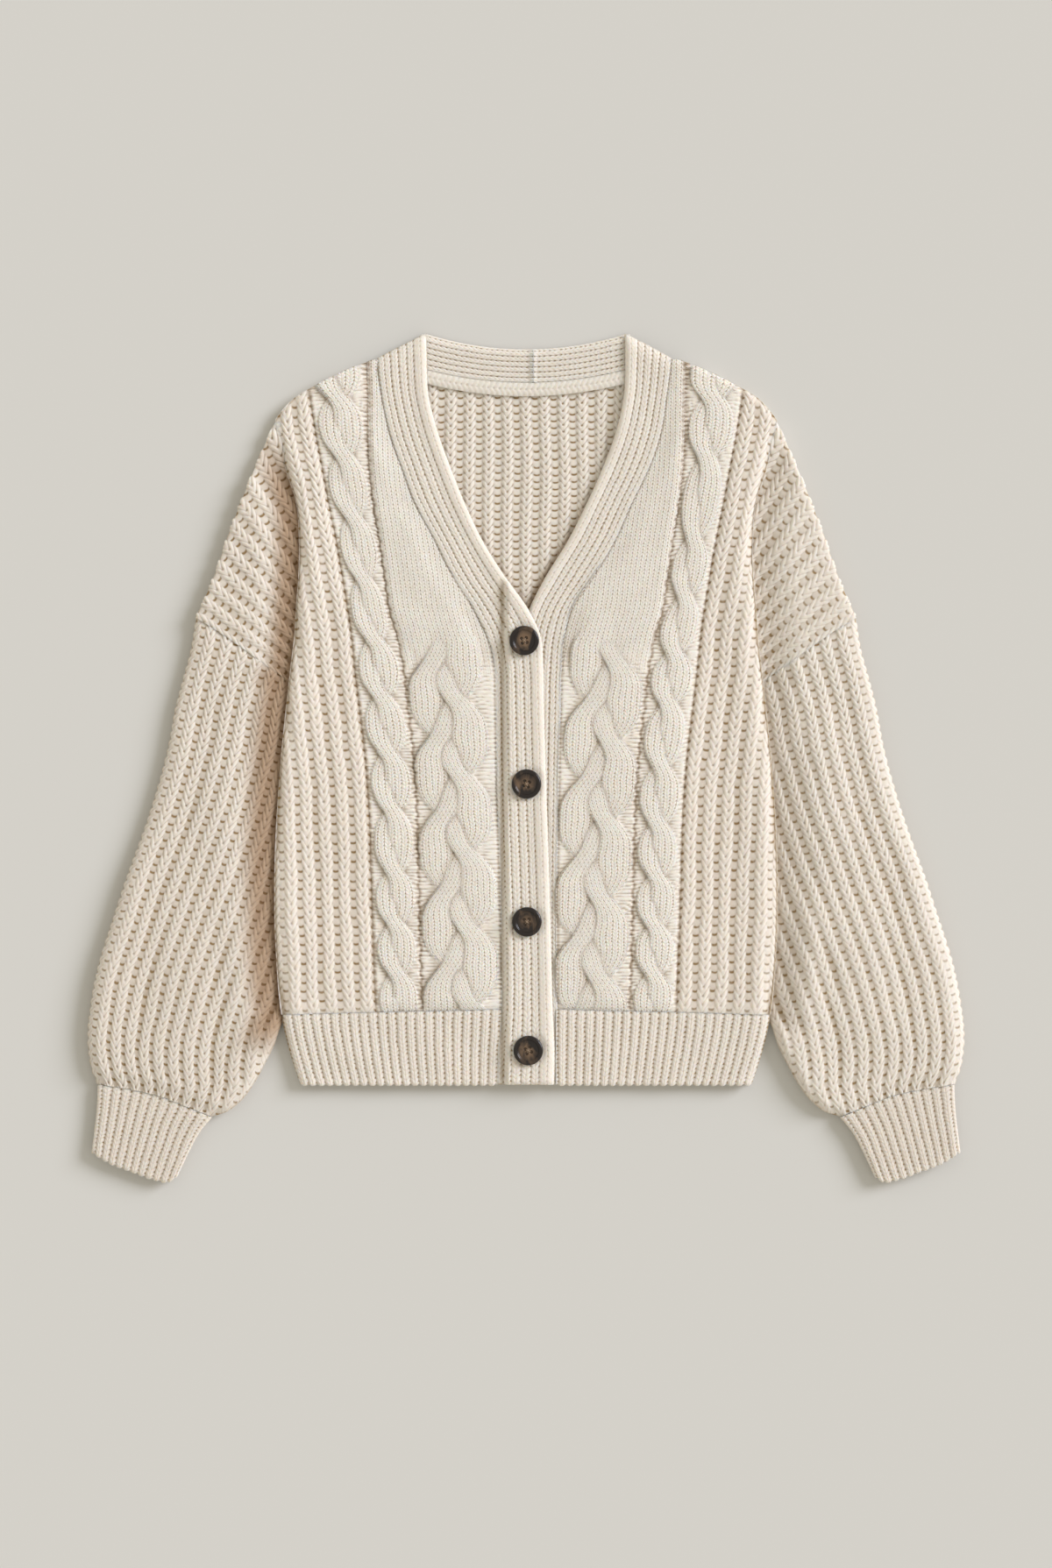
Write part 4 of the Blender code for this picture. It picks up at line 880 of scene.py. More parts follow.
def neck_low(x):
    """Height of the seam at the back of the neck."""
    rise = np.minimum((np.abs(x) / NECK_HALF) ** 2, 1.0)
    return NECK_LOW_MIDDLE + (BACK_TOP - NECK_LOW_MIDDLE) * rise


def back_edge(y):
    """The back's edge: the side, then the armhole, then the shoulder."""
    armhole = np.interp(y, ARMHOLE_LINE[::-1, 1], ARMHOLE_LINE[::-1, 0])
    return np.where(y < FOLD_LOW, body(SIDE, y), np.where(y < ARMHOLE[0][1], armhole, shoulder(y)))


def back_plan():
    """The back's grid: few rows up to the opening and many over it, and few columns outside it."""
    low = np.linspace(HEM_TOP_MIDDLE - 3, OPENING_LOW, 6 * COARSE)[:-1]
    y = np.concatenate([low, np.linspace(OPENING_LOW, BACK_TOP, 20 * COARSE + 2)])[:, None]
    near, far = even(0.0, 1.0, 10)[None], even(0.0, 1.0, 2)[None, 1:]
    half = np.concatenate([near * OPENING_HALF + 0 * y, mix(OPENING_HALF, back_edge(y), far)], axis=1)
    x = np.concatenate([-half[:, :0:-1], half], axis=1)
    return np.stack([x, y + (neck_low(x) - BACK_TOP) * step(300.0, BACK_TOP, y)], -1)


print("The back's grid is", back_plan().shape[:2], "points")

# %% Make the back
plan = back_plan()
x, y = plan[..., 0], plan[..., 1]
opening = step(OPENING_LOW, OPENING_LOW + 20.0, y) * step(OPENING_HALF, OPENING_HALF - 6.0, np.abs(x))
counts = x / NECK_RIB_PITCH + 0.5 + 0.05 * wander(x, y, 120.0, 11)
rows = y / NECK_ROW + 0.15 * wander(x, y, 60.0, 12)
z = 3.0 + (3.2 * rib(counts, rows, half=0.28) - 0.8 + 0.4 * wander(x, y, 80.0, 13)) * opening
# The back is shaded close to the bands' free edges, more on the wearer's left
from_edge = np.where(x < 0, x + band_edge(-1, y), band_edge(1, y) - x)
shade = 0.9 * step(9.0, 0.0, from_edge) * np.where(x < 0, 0.5, 1.0) * step(300.0, 150.0, y)
# A little painted shade lies over the whole opening
shade = np.maximum(shade, 0.08 * opening)
pieces["back"] = panel("back", 1, plan, z, 0.0, (2.0, 1.0, 2.0, 2.0), (counts, rows, -opening), painted_shade=shade)
print("back has", len(pieces["back"].data.polygons), "faces")

# %% [markdown]
# ## The hems
#
# The hem is a fine one-by-one rib. It is the same stitch as the thick ribs, with narrower columns, wider gaps
# and shorter rows, and it draws the garment in a little.

# %% Make the hems
# Ribs across a front's hem, how tall a row is, how high the hem lies over its underside and its ribs' height
HEM_RIBS, FINE_ROW, HEM_LEVEL, FINE_HEIGHT = 23, 4.4, 5.3, 1.5


def fine_rib(columns, rows):
    """The rib stitch of the hems and cuffs, with fainter legs and pits than the thick ribs'."""
    return rib(columns, rows, half=0.36, pit=0.2, twist=0.14, ladder=0.45, slit=0.2)


def hem_side(y):
    """How far out the hem's side is at a height. The hem draws in towards its open end."""
    down = np.clip((HEM_TOP_SIDE - y) / (HEM_TOP_SIDE - HEM_END), 0.0, 1.0)
    return HEM_SIDE_TOP + (HEM_SIDE_END - HEM_SIDE_TOP) * down**HEM_DRAW


def hem_plan(side):
    """A front hem's grid: rows from its open end up to its seam, each from the band out to the side."""
    v = even(0.0, 1.0, 8)[:, None]
    y = mix(HEM_END, HEM_TOP_MIDDLE - 0.05, v)
    s = mix(band_seam(side, y) - 1.5, hem_side(y), even(0.0, 1.0, 30)[None])
    return np.stack([s, y + (hem_seam(s) - HEM_TOP_MIDDLE) * v], -1)


for side in (-1, 1):
    plan = hem_plan(side)
    s, y = plan[..., 0], plan[..., 1]
    inner, outer, up = band_seam(side, y), hem_side(y), y - HEM_END
    columns, rows = (s - inner) / (outer - inner) * HEM_RIBS, y / FINE_ROW + 0.2 * wander(s, y, 50.0, 21)
    z = FRONT_UNDER + HEM_LEVEL + FINE_HEIGHT * fine_rib(columns, rows) + 0.5 * wander(s, y, 70.0, 22)
    z -= fallen(outer - s, 12.0, 4.4) + fallen(up, 3.5, 2.0) + drawn_in(hem_seam(s) - y, 4.0, 0.5)
    # The open end is scalloped by the columns
    scallop = 1.8 * (np.abs(np.sin(np.pi * columns)) - 0.2) * step(3.5, 0.0, up)
    plan, z = np.stack([s, y - scallop], -1), np.maximum(z, FRONT_UNDER + THINNEST)
    name, tuck, stitches = f"hem_front_{wearer(side)}", (1.4, 1.0, 1.0, 2.0), (columns, rows, 1.0 + 0 * s)
    # The hems get a little painted shade all over
    pieces[name] = panel(name, side, plan, z, FRONT_UNDER - 0.2, tuck, stitches, reach=3.0, painted_shade=0.05)

y = even(HEM_END, HEM_TOP_MIDDLE, 2)[:, None]
x = even(-1.0, 1.0, 8)[None] * hem_side(y)
plan = np.stack([x, y + (hem_seam(x) - HEM_TOP_MIDDLE) * step(HEM_END, HEM_TOP_MIDDLE, y)], -1)
z = BACK_WALL - fallen(y - HEM_END, 5.0, 2.4) + 0 * x
pieces["hem_back"] = panel("hem_back", 1, plan, z, 0.0, (1.5, 1.0, 1.5, 1.5))
print("The hems have", HEM_RIBS, "ribs on each front")

# %% [markdown]
# ## The button bands and the neckband
#
# A band runs from the hem up the front's edge and round the neck. Beside its seam are two pairs of narrow
# columns, then finer ones, and its free edge is a smooth roll. The upper band climbs onto the other one, and
# a button presses into it. Across the back of the neck the same band shows its inside.

# %% Sizes of the bands
# A band's thickness, and how far the upper one climbs over the other
BAND_WALL, BAND_LIFT = 5.4, 6.1
# The heights and the distances from the middle between which it climbs
CLIMB_TOP, CLIMB_LOW, CLIMB_OUT, CLIMB_IN = 182.0, 156.0, 24.0, 15.5
# Where the gaps lie, as shares of the width from the seam. The roll begins at the last
BAND_GAPS = (0.0, 0.125, 0.25, 0.42, 0.59, 0.74)
# The middle of the roll, half its width and the width of its stitches, as shares of the band's width
ROLL_MIDDLE, ROLL_HALF, ROLL_COLUMN = 0.87, 0.145, 0.13
# Columns: share of the width, how deep the ribs are worked there
BAND_DEPTHS = ((0.0, 0.35), (0.06, 0.9), (0.125, 0.45), (0.15, 1.0), (0.25, 1.0), (0.4, 0.8), (0.74, 0.6))
BAND_WIDTH, BAND_ROW, BAND_UP = 48.0, 4.9, 381.0
# The line where the bands end at the shoulder
BAND_END = np.array([(142.8, 381.0), (116.0, 395.6), (NECK_HALF, 405.0)])
# How far a button presses into the upper band. The part of the other band that is covered lies as low
BUTTON_RADIUS, PRESSED = 14.2, 0.6
print("A band is", BAND_WIDTH, "mm wide, with", len(BAND_GAPS) - 1, "columns and a roll")

# %% Make the bands

def band_plan(side):
    """Rows from the foot to the shoulder, each from the seam to the free edge, and the share across each.

    The last rows turn with the shoulder's slope.
    """
    y, u = even(HEM_END, BAND_UP, 58)[:, None], even(0.0, 1.0, 7)[None]
    y = y + 24.0 * u * step(300.0, BAND_UP, y)
    return np.stack([mix(band_seam(side, y), band_edge(side, y), u), y], -1), u + 0 * y


def band_knit(across, rows):
    """Height and stitch counts of the narrow columns between the gaps, then of the thick rolled edge.

    The roll is half an ellipse across.
    """
    last, roll_from = len(BAND_GAPS) - 1, BAND_GAPS[-1]
    count = np.interp(across, BAND_GAPS, np.arange(last + 1))
    deep = np.interp(across, *np.transpose(BAND_DEPTHS))
    ribs = 1.4 * (rib(count, rows, half=0.45, lean=1.6, twist=0.18, crease=0.1, pit=0.25) - 1.0) * deep
    roll = 1.5 * np.sqrt(np.maximum(1 - ((across - ROLL_MIDDLE) / ROLL_HALF) ** 2, 0.0)) - 0.6
    count = np.where(across > roll_from, last + (across - roll_from) / ROLL_COLUMN, count)
    return np.where(across < 0.735, ribs, roll), (count, rows, np.where(across < roll_from, 1.0, 0.45))


def band_under(side, s, y):
    """Height of a band's underside. The upper band climbs over the other one."""
    climb = step(CLIMB_OUT, CLIMB_IN, s) * step(CLIMB_TOP, CLIMB_LOW, y) * (side < 0)
    return FRONT_UNDER + BAND_LIFT * climb


for side in (-1, 1):
    plan, across = band_plan(side)
    s, y = plan[..., 0], plan[..., 1]
    run = lengths(plan[:, plan.shape[1] // 2])[:, None]
    knit, stitches = band_knit(across, (run + 0 * s) / BAND_ROW + 0.15 * wander(s, y, 40.0, 31))
    knit = knit + 0.5 * wander(s, y, 70.0, 32)
    for button_x, button_y in BUTTONS if side < 0 else ():
        under_button = step(BUTTON_RADIUS + 7.0, BUTTON_RADIUS - 1.0, np.hypot(s + button_x, y - button_y))
        knit = mix(knit, np.minimum(knit, 0.0) - PRESSED, under_button)
    covered = step(0.0, -3.0, s + band_edge(-1, y)) * step(CLIMB_TOP, CLIMB_LOW, y) * (side > 0)
    base = band_under(side, s, y)
    z = base + BAND_WALL + mix(knit, -PRESSED, covered) - fallen((1 - across) * BAND_WIDTH, 5.0, 3.2)
    z -= fallen(distance(s, y, BAND_END), 14.0, 6.5) + fallen(y - HEM_END, 5.0, 2.6)
    z = np.maximum(z - drawn_in(across * BAND_WIDTH, 3.0, 0.4), base + THINNEST)
    name, tuck = f"band_{wearer(side)}", (1.2, 1.0, 1.0, 1.6)
    pieces[name] = panel(
        name, side, plan, z, lambda s, y: band_under(side, s, y) - 0.1, tuck, stitches, reach=3.0
    )
print("The bands have", len(pieces["band_right"].data.polygons), "faces each")

# %% Make the neckband and the strip over its seam
# Where the two halves of the neckband are joined, a little to the wearer's left of the middle
NECK_JOIN = 6.8
# Columns across the neckband, and the length of a stitch in the strip's chain
NECK_COLUMNS, CHAIN_ROW = 6.5, 5.2


def neck_top(x):
    """Height of the neckband's free edge at the back of the neck."""
    return NECK_TOP_MIDDLE + (NECK_TOP_SIDE - NECK_TOP_MIDDLE) * (np.abs(x) / NECK_HALF) ** 2


for side in (-1, 1):
    s, v = even(side * NECK_JOIN + 0.1, NECK_HALF + 5.0, 10)[None], even(0.0, 1.0, 4)[:, None]
    high = neck_top(np.minimum(s, NECK_HALF))
    plan = np.stack([s + 0 * v, mix(neck_low(s) + 0.3, high, v)], -1)
    columns, rows = v * NECK_COLUMNS + 0 * s, s / BAND_ROW + 0.15 * wander(s * side, v * 30, 40.0, 41)
    z = BACK_WALL - 0.6 + 1.5 * rib(columns, rows, half=0.42, lean=1.6, twist=0.18, pit=0.25)
    z = np.maximum(z + 1.5 * hump(s * side - NECK_JOIN, 3.0) - fallen(high - plan[..., 1], 7.0, 4.0), 1.0)
    name, stitches = f"neckband_{wearer(side)}", (columns, rows, 1.0 + 0 * rows)
    pieces[name] = panel(name, side, plan, z, 0.0, (0.5, 1.6, 0.3, 0.5), stitches, reach=3.0)

x, v = even(-NECK_HALF - 2.0, NECK_HALF + 2.0, 18)[None], even(0.0, 1.0, 2)[:, None]
plan = np.stack([x + 0 * v, neck_low(x) - 12.5 * (1 - v) + 0.5 * v], -1)
z = 6.2 + 1.7 * rib(v + 0 * x, x / CHAIN_ROW, half=0.47, lean=1.5, twist=0.4, pit=0.3)
# The strip gets a little painted shade all over
pieces["neck_strip"] = panel("neck_strip", 1, plan, z, 4.6, (0.5, 0.5, 0.5, 0.5), reach=3.0, painted_shade=0.06)
print("The neckband has", len(pieces["neckband_left"].data.polygons), "faces in each half")

# %% [markdown]
# ## The balloon sleeves
#
# A sleeve is a wide tube that lies flat, fullest above the cuff where it is gathered in. Its grid is a Coons
# patch, which fills in the space between four curves: the outer edge, the inner edge, the armhole and the
# cuff's seam. The ribs run parallel to the outer edge, so they are cut off by the inner one.

# %% The sleeves' grid and counts
# Columns: height along the sleeve, width of a rib there
SLEEVE_PITCH = ((-335.0, 11.4), (-300.0, 12.6), (-240.0, 14.3), (110.0, 16.6))
# How much the rows slope, and how far the sleeve's inner edge reaches in under the side of the body
ROW_LEAN, UNDER_SIDE = 0.27, 0.9
SLEEVE_LINE = spline([ARMHOLE[0], *SLEEVE_OUTER[1:]], 80)


def coons(left, right, low, high):
    """A grid between four curves: the two straight blends of opposite curves, less the blend of corners."""
    u = np.linspace(0.0, 1.0, len(low))[None, :, None]
    v = np.linspace(0.0, 1.0, len(left))[:, None, None]
    corners = mix(mix(low[0], low[-1], u), mix(high[0], high[-1], u), v)
    return mix(left[:, None], right[:, None], u) + mix(low[None], high[None], v) - corners


def sleeve_plan():
    """The sleeve's grid: rows from the cuff up to the armhole, each from the inner edge to the outer."""
    rows, columns = 40 * COARSE + 1, 19 * COARSE + 1
    beside = [(float(body(SIDE, y)) - UNDER_SIDE, y) for y in np.linspace(-250.0, 62.0, 14)]
    inner = spline([*SLEEVE_INNER, *beside, ARMHOLE[-1]], rows)
    outer = spline([*SLEEVE_OUTER[:0:-1], ARMHOLE[0]], rows)
    return coons(inner, outer, spline(CUFF_SEAM[::-1], columns), spline(ARMHOLE[::-1], columns))


def sleeve_counts(s, y):
    """Ribs from the outer edge inwards, and rows that cross them square."""
    outer = np.interp(y, SLEEVE_LINE[::-1, 1], SLEEVE_LINE[::-1, 0])
    pitch = smooth(SLEEVE_PITCH, 1, y - ROW_LEAN * (s - outer))
    return (outer - s) / pitch + 0.5, (y - ROW_LEAN * s) * np.hypot(1.0, ROW_LEAN) / RIB_ROW


print("A sleeve's grid is", sleeve_plan().shape[:2], "points")

# %% Folds in the sleeves
# Long soft troughs: (s, y) of both ends, width, depth
SLEEVE_FOLDS = (
    (262.0, 40.0, 276.0, -150.0, 13.0, 2.6),
    (300.0, 60.0, 330.0, -90.0, 12.0, 1.4),
    (345.0, -90.0, 372.0, -280.0, 14.0, 1.3),
    (290.0, -180.0, 300.0, -320.0, 12.0, 1.5),
)
print("A sleeve has", len(SLEEVE_FOLDS), "troughs")


def folds(s, y):
    """Depth of the troughs, each a bell curve across a line and fading towards its ends."""
    depths = 0.0
    for s0, y0, s1, y1, width, depth in SLEEVE_FOLDS:
        run_s, run_y = s1 - s0, y1 - y0
        t = ((s - s0) * run_s + (y - y0) * run_y) / (run_s**2 + run_y**2)
        across = np.abs((s - s0) * run_y - (y - y0) * run_s) / np.hypot(run_s, run_y)
        depths = depths + depth * hump(across, width) * step(-0.15, 0.25, t) * step(1.15, 0.75, t)
    return depths


# %% Make the sleeves
# The lower wall, the most that its inner faces are apart, and how far they keep from the long edges
SLEEVE_SKIN = (3.0, 0.9, 0.08)
# Over which width its edge is rounded and how low it falls, where it is free and where it meets the body
FREE_WIDTH, FREE_LOW = 11.0, 8.5
MEET_WIDTH, MEET_LOW = 40.0, 4.6
# The least height of a sleeve, so that its inner faces stay inside
LEAST_SLEEVE = 4.4

for side in (-1, 1):
    plan = sleeve_plan()
    s, y = plan[..., 0], plan[..., 1]
    inner_away, outer_away = distance(s, y, plan[::6, 0]), distance(s, y, plan[::6, -1])
    away, full = np.minimum(inner_away, outer_away), smooth(SLEEVE_HEIGHT, 1, y)
    counts, rows = sleeve_counts(s, y)
    counts, rows = counts + uneven(s, y, 51), rows + 3 * uneven(s, y, 53)
    knit = rib(counts, rows, half=0.33 + 0.07 * step(-190.0, -290.0, y)) * step(-2.0, 9.0, away)
    beside = drawn_in(inner_away, MEET_WIDTH, full - MEET_LOW)
    beside = beside + fallen(outer_away, FREE_WIDTH, full - FREE_LOW)
    fall = mix(fallen(away, FREE_WIDTH, full - FREE_LOW), beside, step(-275.0, -245.0, y))
    z = full - 0.4 + RIB_HEIGHT * knit - fall - folds(s, y) + 0.8 * wander(s, y, 110.0, 53 + side)
    z -= drawn_in(distance(s, y, ARMHOLE_LINE), *ARMHOLE_GROOVE)
    z = np.maximum(z - drawn_in(distance(s, y, plan[0, ::8]), 17.0, 2.6), LEAST_SLEEVE)
    # Painted shade: dark beside the body, where the sleeve runs under it, and a little over the whole sleeve,
    # more on the side away from the light
    painted_shading = FOLD_SHADE[side] * (1 - step(16.0, 46.0, inner_away)) * step(-300.0, -258.0, y)
    plan, painted_shading = pushed(plan, 1.4 * (np.abs(np.sin(np.pi * rows)) - 0.6)), np.maximum(painted_shading, DIM[side])
    name, tuck = f"sleeve_{wearer(side)}", (0.5, 0.5, 4.0, 4.0)
    stitches = (counts, rows, 0 * s - SLITS_DARK[side])
    pieces[name] = tube(name, side, plan, z, tuck, SLEEVE_SKIN, stitches, painted_shade=painted_shading)
    print(name, "has", len(pieces[name].data.polygons), "faces")

# %% [markdown]
# ## The cuffs
#
# A cuff is a short tube of fine rib. Its columns run from the sleeve's gathers to the open end, closer
# together than the sleeve's, so the grid's own two directions serve as the columns' and rows' counts.

# %% Make the cuffs
# Ribs and rows, the height that the ribs rise from, and the least height. The skin is as in the sleeves
CUFF_RIBS, CUFF_ROWS, CUFF_LEVEL, LEAST_CUFF = 12, 17, 11.2, 3.6
CUFF_SKIN = (2.2, 0.8, 0.1)

for side in (-1, 1):
    u, v = even(0.0, 1.0, 13)[None], even(0.0, 1.0, 7)[:, None]
    left, right = spline(CUFF_INNER, v.size), spline(CUFF_OUTER[::-1], v.size)
    plan = coons(left, right, spline(CUFF_END[::-1], u.size), spline(CUFF_SEAM[::-1], u.size))
    s, y = plan[..., 0], plan[..., 1]
    columns, rows = u * CUFF_RIBS + 0.5 + 0 * v, v * CUFF_ROWS + 0.1 * wander(s, y, 40.0, 61)
    away = np.minimum(u, 1 - u) * np.linalg.norm(plan[:, -1] - plan[:, 0], axis=-1)[:, None]
    z = CUFF_LEVEL + FINE_HEIGHT * fine_rib(columns, rows)
    z -= fallen(away, 6.0, 4.0) + fallen(y - y[:1], 4.0, 1.4) + drawn_in(1 - v, 0.06, 0.6)
    z = np.maximum(z, LEAST_CUFF)
    scallop = 1.6 * (np.abs(np.sin(np.pi * columns)) - 0.4) * step(0.06, 0.0, v)
    plan = plan + unit(plan[0] - plan[COARSE]) * scallop[..., None]
    name, tuck, stitches = f"cuff_{wearer(side)}", (0.5, 0.5, 2.0, 2.0), (columns, rows, 1.0 + 0 * s)
    # The cuffs get a little painted shade all over
    pieces[name] = tube(name, side, plan, z, tuck, CUFF_SKIN, stitches, reach=3.0, painted_shade=0.14)
print("The cuffs have", len(pieces["cuff_left"].data.polygons), "faces each")

# %% [markdown]
# ## The buttons
#
# A button is turned on a lathe: a profile of radius and height carried once round an axis. Four holes are
# pressed into its middle, and a few turns of thread cross between them.

# %% Make the buttons
BUTTON_BASE = 17.85
# Columns: radius, height
BUTTON_PROFILE = (
    (0.05, 2.6), (1.5, 2.6), (2.6, 2.6), (5.6, 2.65), (8.6, 2.9), (9.7, 3.0), (10.1, 3.45), (10.5, 3.95),
    (11.3, 4.15), (12.4, 4.2), (13.3, 3.95), (13.9, 3.3), (14.2, 2.5), (14.1, 1.4), (13.6, 0.5),
    (12.6, 0.05), (6.0, 0.0), (0.05, 0.0),
)
HOLE_AWAY, HOLE_RADIUS, HOLE_DEPTH = 2.3, 1.45, 2.3
# How far along the profile the close rings over the holes end, and a place well before the underside
HOLES_END, FACE_END = 5.2, 8.0
ROUND = 96


def turned(name, middle, tilt):
    """A disc: the profile's rings, close together over the holes, with a flat pit at each hole."""
    knots = np.array(BUTTON_PROFILE)
    length = lengths(knots)
    at = np.concatenate([[0.0, 0.8], np.linspace(1.4, HOLES_END, 26), np.linspace(5.6, length[-1], 52)])
    curved, table = at > HOLES_END, np.column_stack([length, knots])
    rings = [np.where(curved, smooth(table, n + 1, at), np.interp(at, length, knots[:, n])) for n in (0, 1)]
    radius, height = np.maximum(rings[0], 0.02)[:, None], rings[1][:, None]
    angle = 2 * np.pi * np.arange(ROUND)[None] / ROUND
    x, y = radius * np.cos(angle), radius * np.sin(angle)
    cos, sin = np.cos(tilt), np.sin(tilt)
    across, along = np.abs(x * cos + y * sin), np.abs(y * cos - x * sin)
    pit = step(HOLE_RADIUS + 0.12, HOLE_RADIUS - 0.12, np.hypot(across - HOLE_AWAY, along - HOLE_AWAY))
    z = height - HOLE_DEPTH * pit * (at < FACE_END)[:, None]
    points = np.column_stack([x.ravel() + middle[0], y.ravel() + middle[1], z.ravel() + BUTTON_BASE])
    index = np.arange(x.size).reshape(x.shape)
    faces = [quads(np.column_stack([index, index[:, :1]])), index[:1], index[-1:, ::-1]]
    return make_object(name, points, faces, {"middle": (hump(radius, 7.5) + 0 * x).ravel()})


def thread(name, middle, tilt):
    """Two bars of thread that cross over the button's middle: a circle carried along two low arches."""
    t = np.linspace(-1.0, 1.0, 17)[:, None]
    turn = 2 * np.pi * np.arange(8)[None] / 8
    points, faces = [], []
    for number, way in enumerate((tilt + np.pi / 4, tilt - np.pi / 4)):
        reach, lift = HOLE_AWAY * 1.414 - 0.9, 0.75 + 0.35 * number
        forward, sideways = reach * t + 0 * turn, 0.32 * np.cos(turn) + 0 * t
        z = BUTTON_BASE + 1.75 + lift + 0.5 - 1.9 * t**6 + 0.3 * np.sin(turn)
        x = forward * np.cos(way) - sideways * np.sin(way) + middle[0]
        y = forward * np.sin(way) + sideways * np.cos(way) + middle[1]
        index = number * x.size + np.arange(x.size).reshape(x.shape)
        points.append(np.column_stack([x.ravel(), y.ravel(), z.ravel()]))
        faces += [quads(np.column_stack([index, index[:, :1]])), index[:1], index[-1:, ::-1]]
    return make_object(name, np.vstack(points), faces)


TILTS = (0.15, -0.25, 0.1, 0.35)
for number, (middle, tilt) in enumerate(zip(BUTTONS, TILTS), start=1):
    pieces[f"button_{number}"] = turned(f"button_{number}", middle, tilt)
    pieces[f"thread_{number}"] = thread(f"thread_{number}", middle, tilt)
print("A button has", len(pieces["button_1"].data.polygons), "faces")

# %% [markdown]
# ## Materials
#
# All the cloth is one cream yarn, so its effects are node groups that every wool material shares. One group
# draws the small stitches of the plain knit and the strands from the stitch counts stored on the mesh, and
# one paints shade into the slits of the ribs. One gives the yarn's fuzz. One paints warm tan shade into the
# gaps, standing in for light that bounces between cream fibres and turns tan, and adds the painted shade that
# the mesh asks for.

# %% Node helpers
FLOAT, COLOUR = "NodeSocketFloat", "NodeSocketColor"


def add(tree, kind, inputs=None, **settings):
    """A new node. Each input gets a value, or a link where the value is another node's socket."""
    made = tree.nodes.new(kind)
    for key, value in settings.items():
        setattr(made, key, value)
    for key, value in (inputs or {}).items():
        if isinstance(value, bpy.types.NodeSocket):
            tree.links.new(value, made.inputs[key])
        else:
            made.inputs[key].default_value = value
    return made


def maths(tree, operation, first, second=0.0, clamp=False):
    return add(tree, "ShaderNodeMath", {0: first, 1: second}, operation=operation, use_clamp=clamp).outputs[0]


def group(name, inputs, outputs):
    """An empty node group with named sockets, and its input and output nodes."""
    tree = bpy.data.node_groups.new(name, "ShaderNodeTree")
    for way, sockets in (("INPUT", inputs), ("OUTPUT", outputs)):
        for label, kind in sockets.items():
            tree.interface.new_socket(label, in_out=way, socket_type=kind)
    return tree, tree.nodes.new("NodeGroupInput").outputs, tree.nodes.new("NodeGroupOutput").inputs


def ramp(tree, value, low, high, start, end):
    """A soft step of a value, from start at low to end at high."""
    given = {0: value, 1: low, 2: high, 3: start, 4: end}
    return add(tree, "ShaderNodeMapRange", given, interpolation_type="SMOOTHSTEP").outputs[0]


def row_wave(tree, rows):
    """|sin| of a row count's half turns: 0 at each whole row and 1 between two."""
    return maths(tree, "ABSOLUTE", maths(tree, "SINE", maths(tree, "MULTIPLY", rows, np.pi)))


def beside_middle(tree, column):
    """How far a column count is from its column's middle: 0 there and 0.5 in the gap."""
    return maths(tree, "ABSOLUTE", maths(tree, "SUBTRACT", maths(tree, "FRACT", column), 0.5))


# %% Group: small stitches

def stitch_group():
    """Height and shade of small V stitches from a column count and a row count, both a little uneven.

    The legs are |sin| of a row count that leans with the distance from the column's middle. The shade is a
    dash in each row along the column's edge, where light doesn't reach, with a faint one all across.
    """
    counts, results = {"Column": FLOAT, "Row": FLOAT}, {"Height": FLOAT, "Shade": FLOAT}
    tree, given, out = group("Small stitches", counts, results)
    place = add(tree, "ShaderNodeTexCoord").outputs["Object"]
    noise = add(tree, "ShaderNodeTexNoise", {"Vector": place, "Scale": 110.0, "Detail": 2.0})
    shift = add(tree, "ShaderNodeSeparateColor", {0: noise.outputs[1]}).outputs
    stray, row_stray = (maths(tree, "SUBTRACT", shift[n], 0.5) for n in (0, 1))
    column = maths(tree, "ADD", given["Column"], maths(tree, "MULTIPLY", stray, 0.35))
    row = maths(tree, "ADD", given["Row"], maths(tree, "MULTIPLY", row_stray, 1.2))
    from_middle = beside_middle(tree, column)
    wave = row_wave(tree, maths(tree, "SUBTRACT", row, maths(tree, "MULTIPLY", from_middle, 1.6)))
    edge = ramp(tree, from_middle, 0.34, 0.5, 0.0, 1.0)
    centre = ramp(tree, from_middle, 0.0, 0.12, 1.0, 0.0)
    leg = maths(tree, "MULTIPLY", maths(tree, "POWER", wave, 0.5), 0.45)
    sunk = maths(tree, "ADD", maths(tree, "MULTIPLY", edge, 0.6), maths(tree, "MULTIPLY", centre, 0.25))
    height = maths(tree, "SUBTRACT", maths(tree, "ADD", leg, 0.55), sunk)
    parting = maths(tree, "POWER", maths(tree, "SUBTRACT", 1.0, wave), 2.0)
    dash = maths(tree, "MULTIPLY", edge, maths(tree, "MULTIPLY", parting, 1.5))
    fleck = maths(tree, "MULTIPLY", parting, 0.12)
    tree.links.new(height, out["Height"])
    tree.links.new(maths(tree, "ADD", dash, fleck, clamp=True), out["Shade"])
    return tree


STITCHES = stitch_group()
print("The small stitches take", len(STITCHES.nodes), "nodes")

# %% Group: rib slits

def marks(tree, rows, dark, fade, beside, reach):
    """A mark in each row: dark at whole rows, fading with the row's wave and with the distance beside."""
    in_row = ramp(tree, row_wave(tree, rows), *fade, dark, 0.0)
    return maths(tree, "MULTIPLY", in_row, ramp(tree, beside, *reach, 1.0, 0.0))


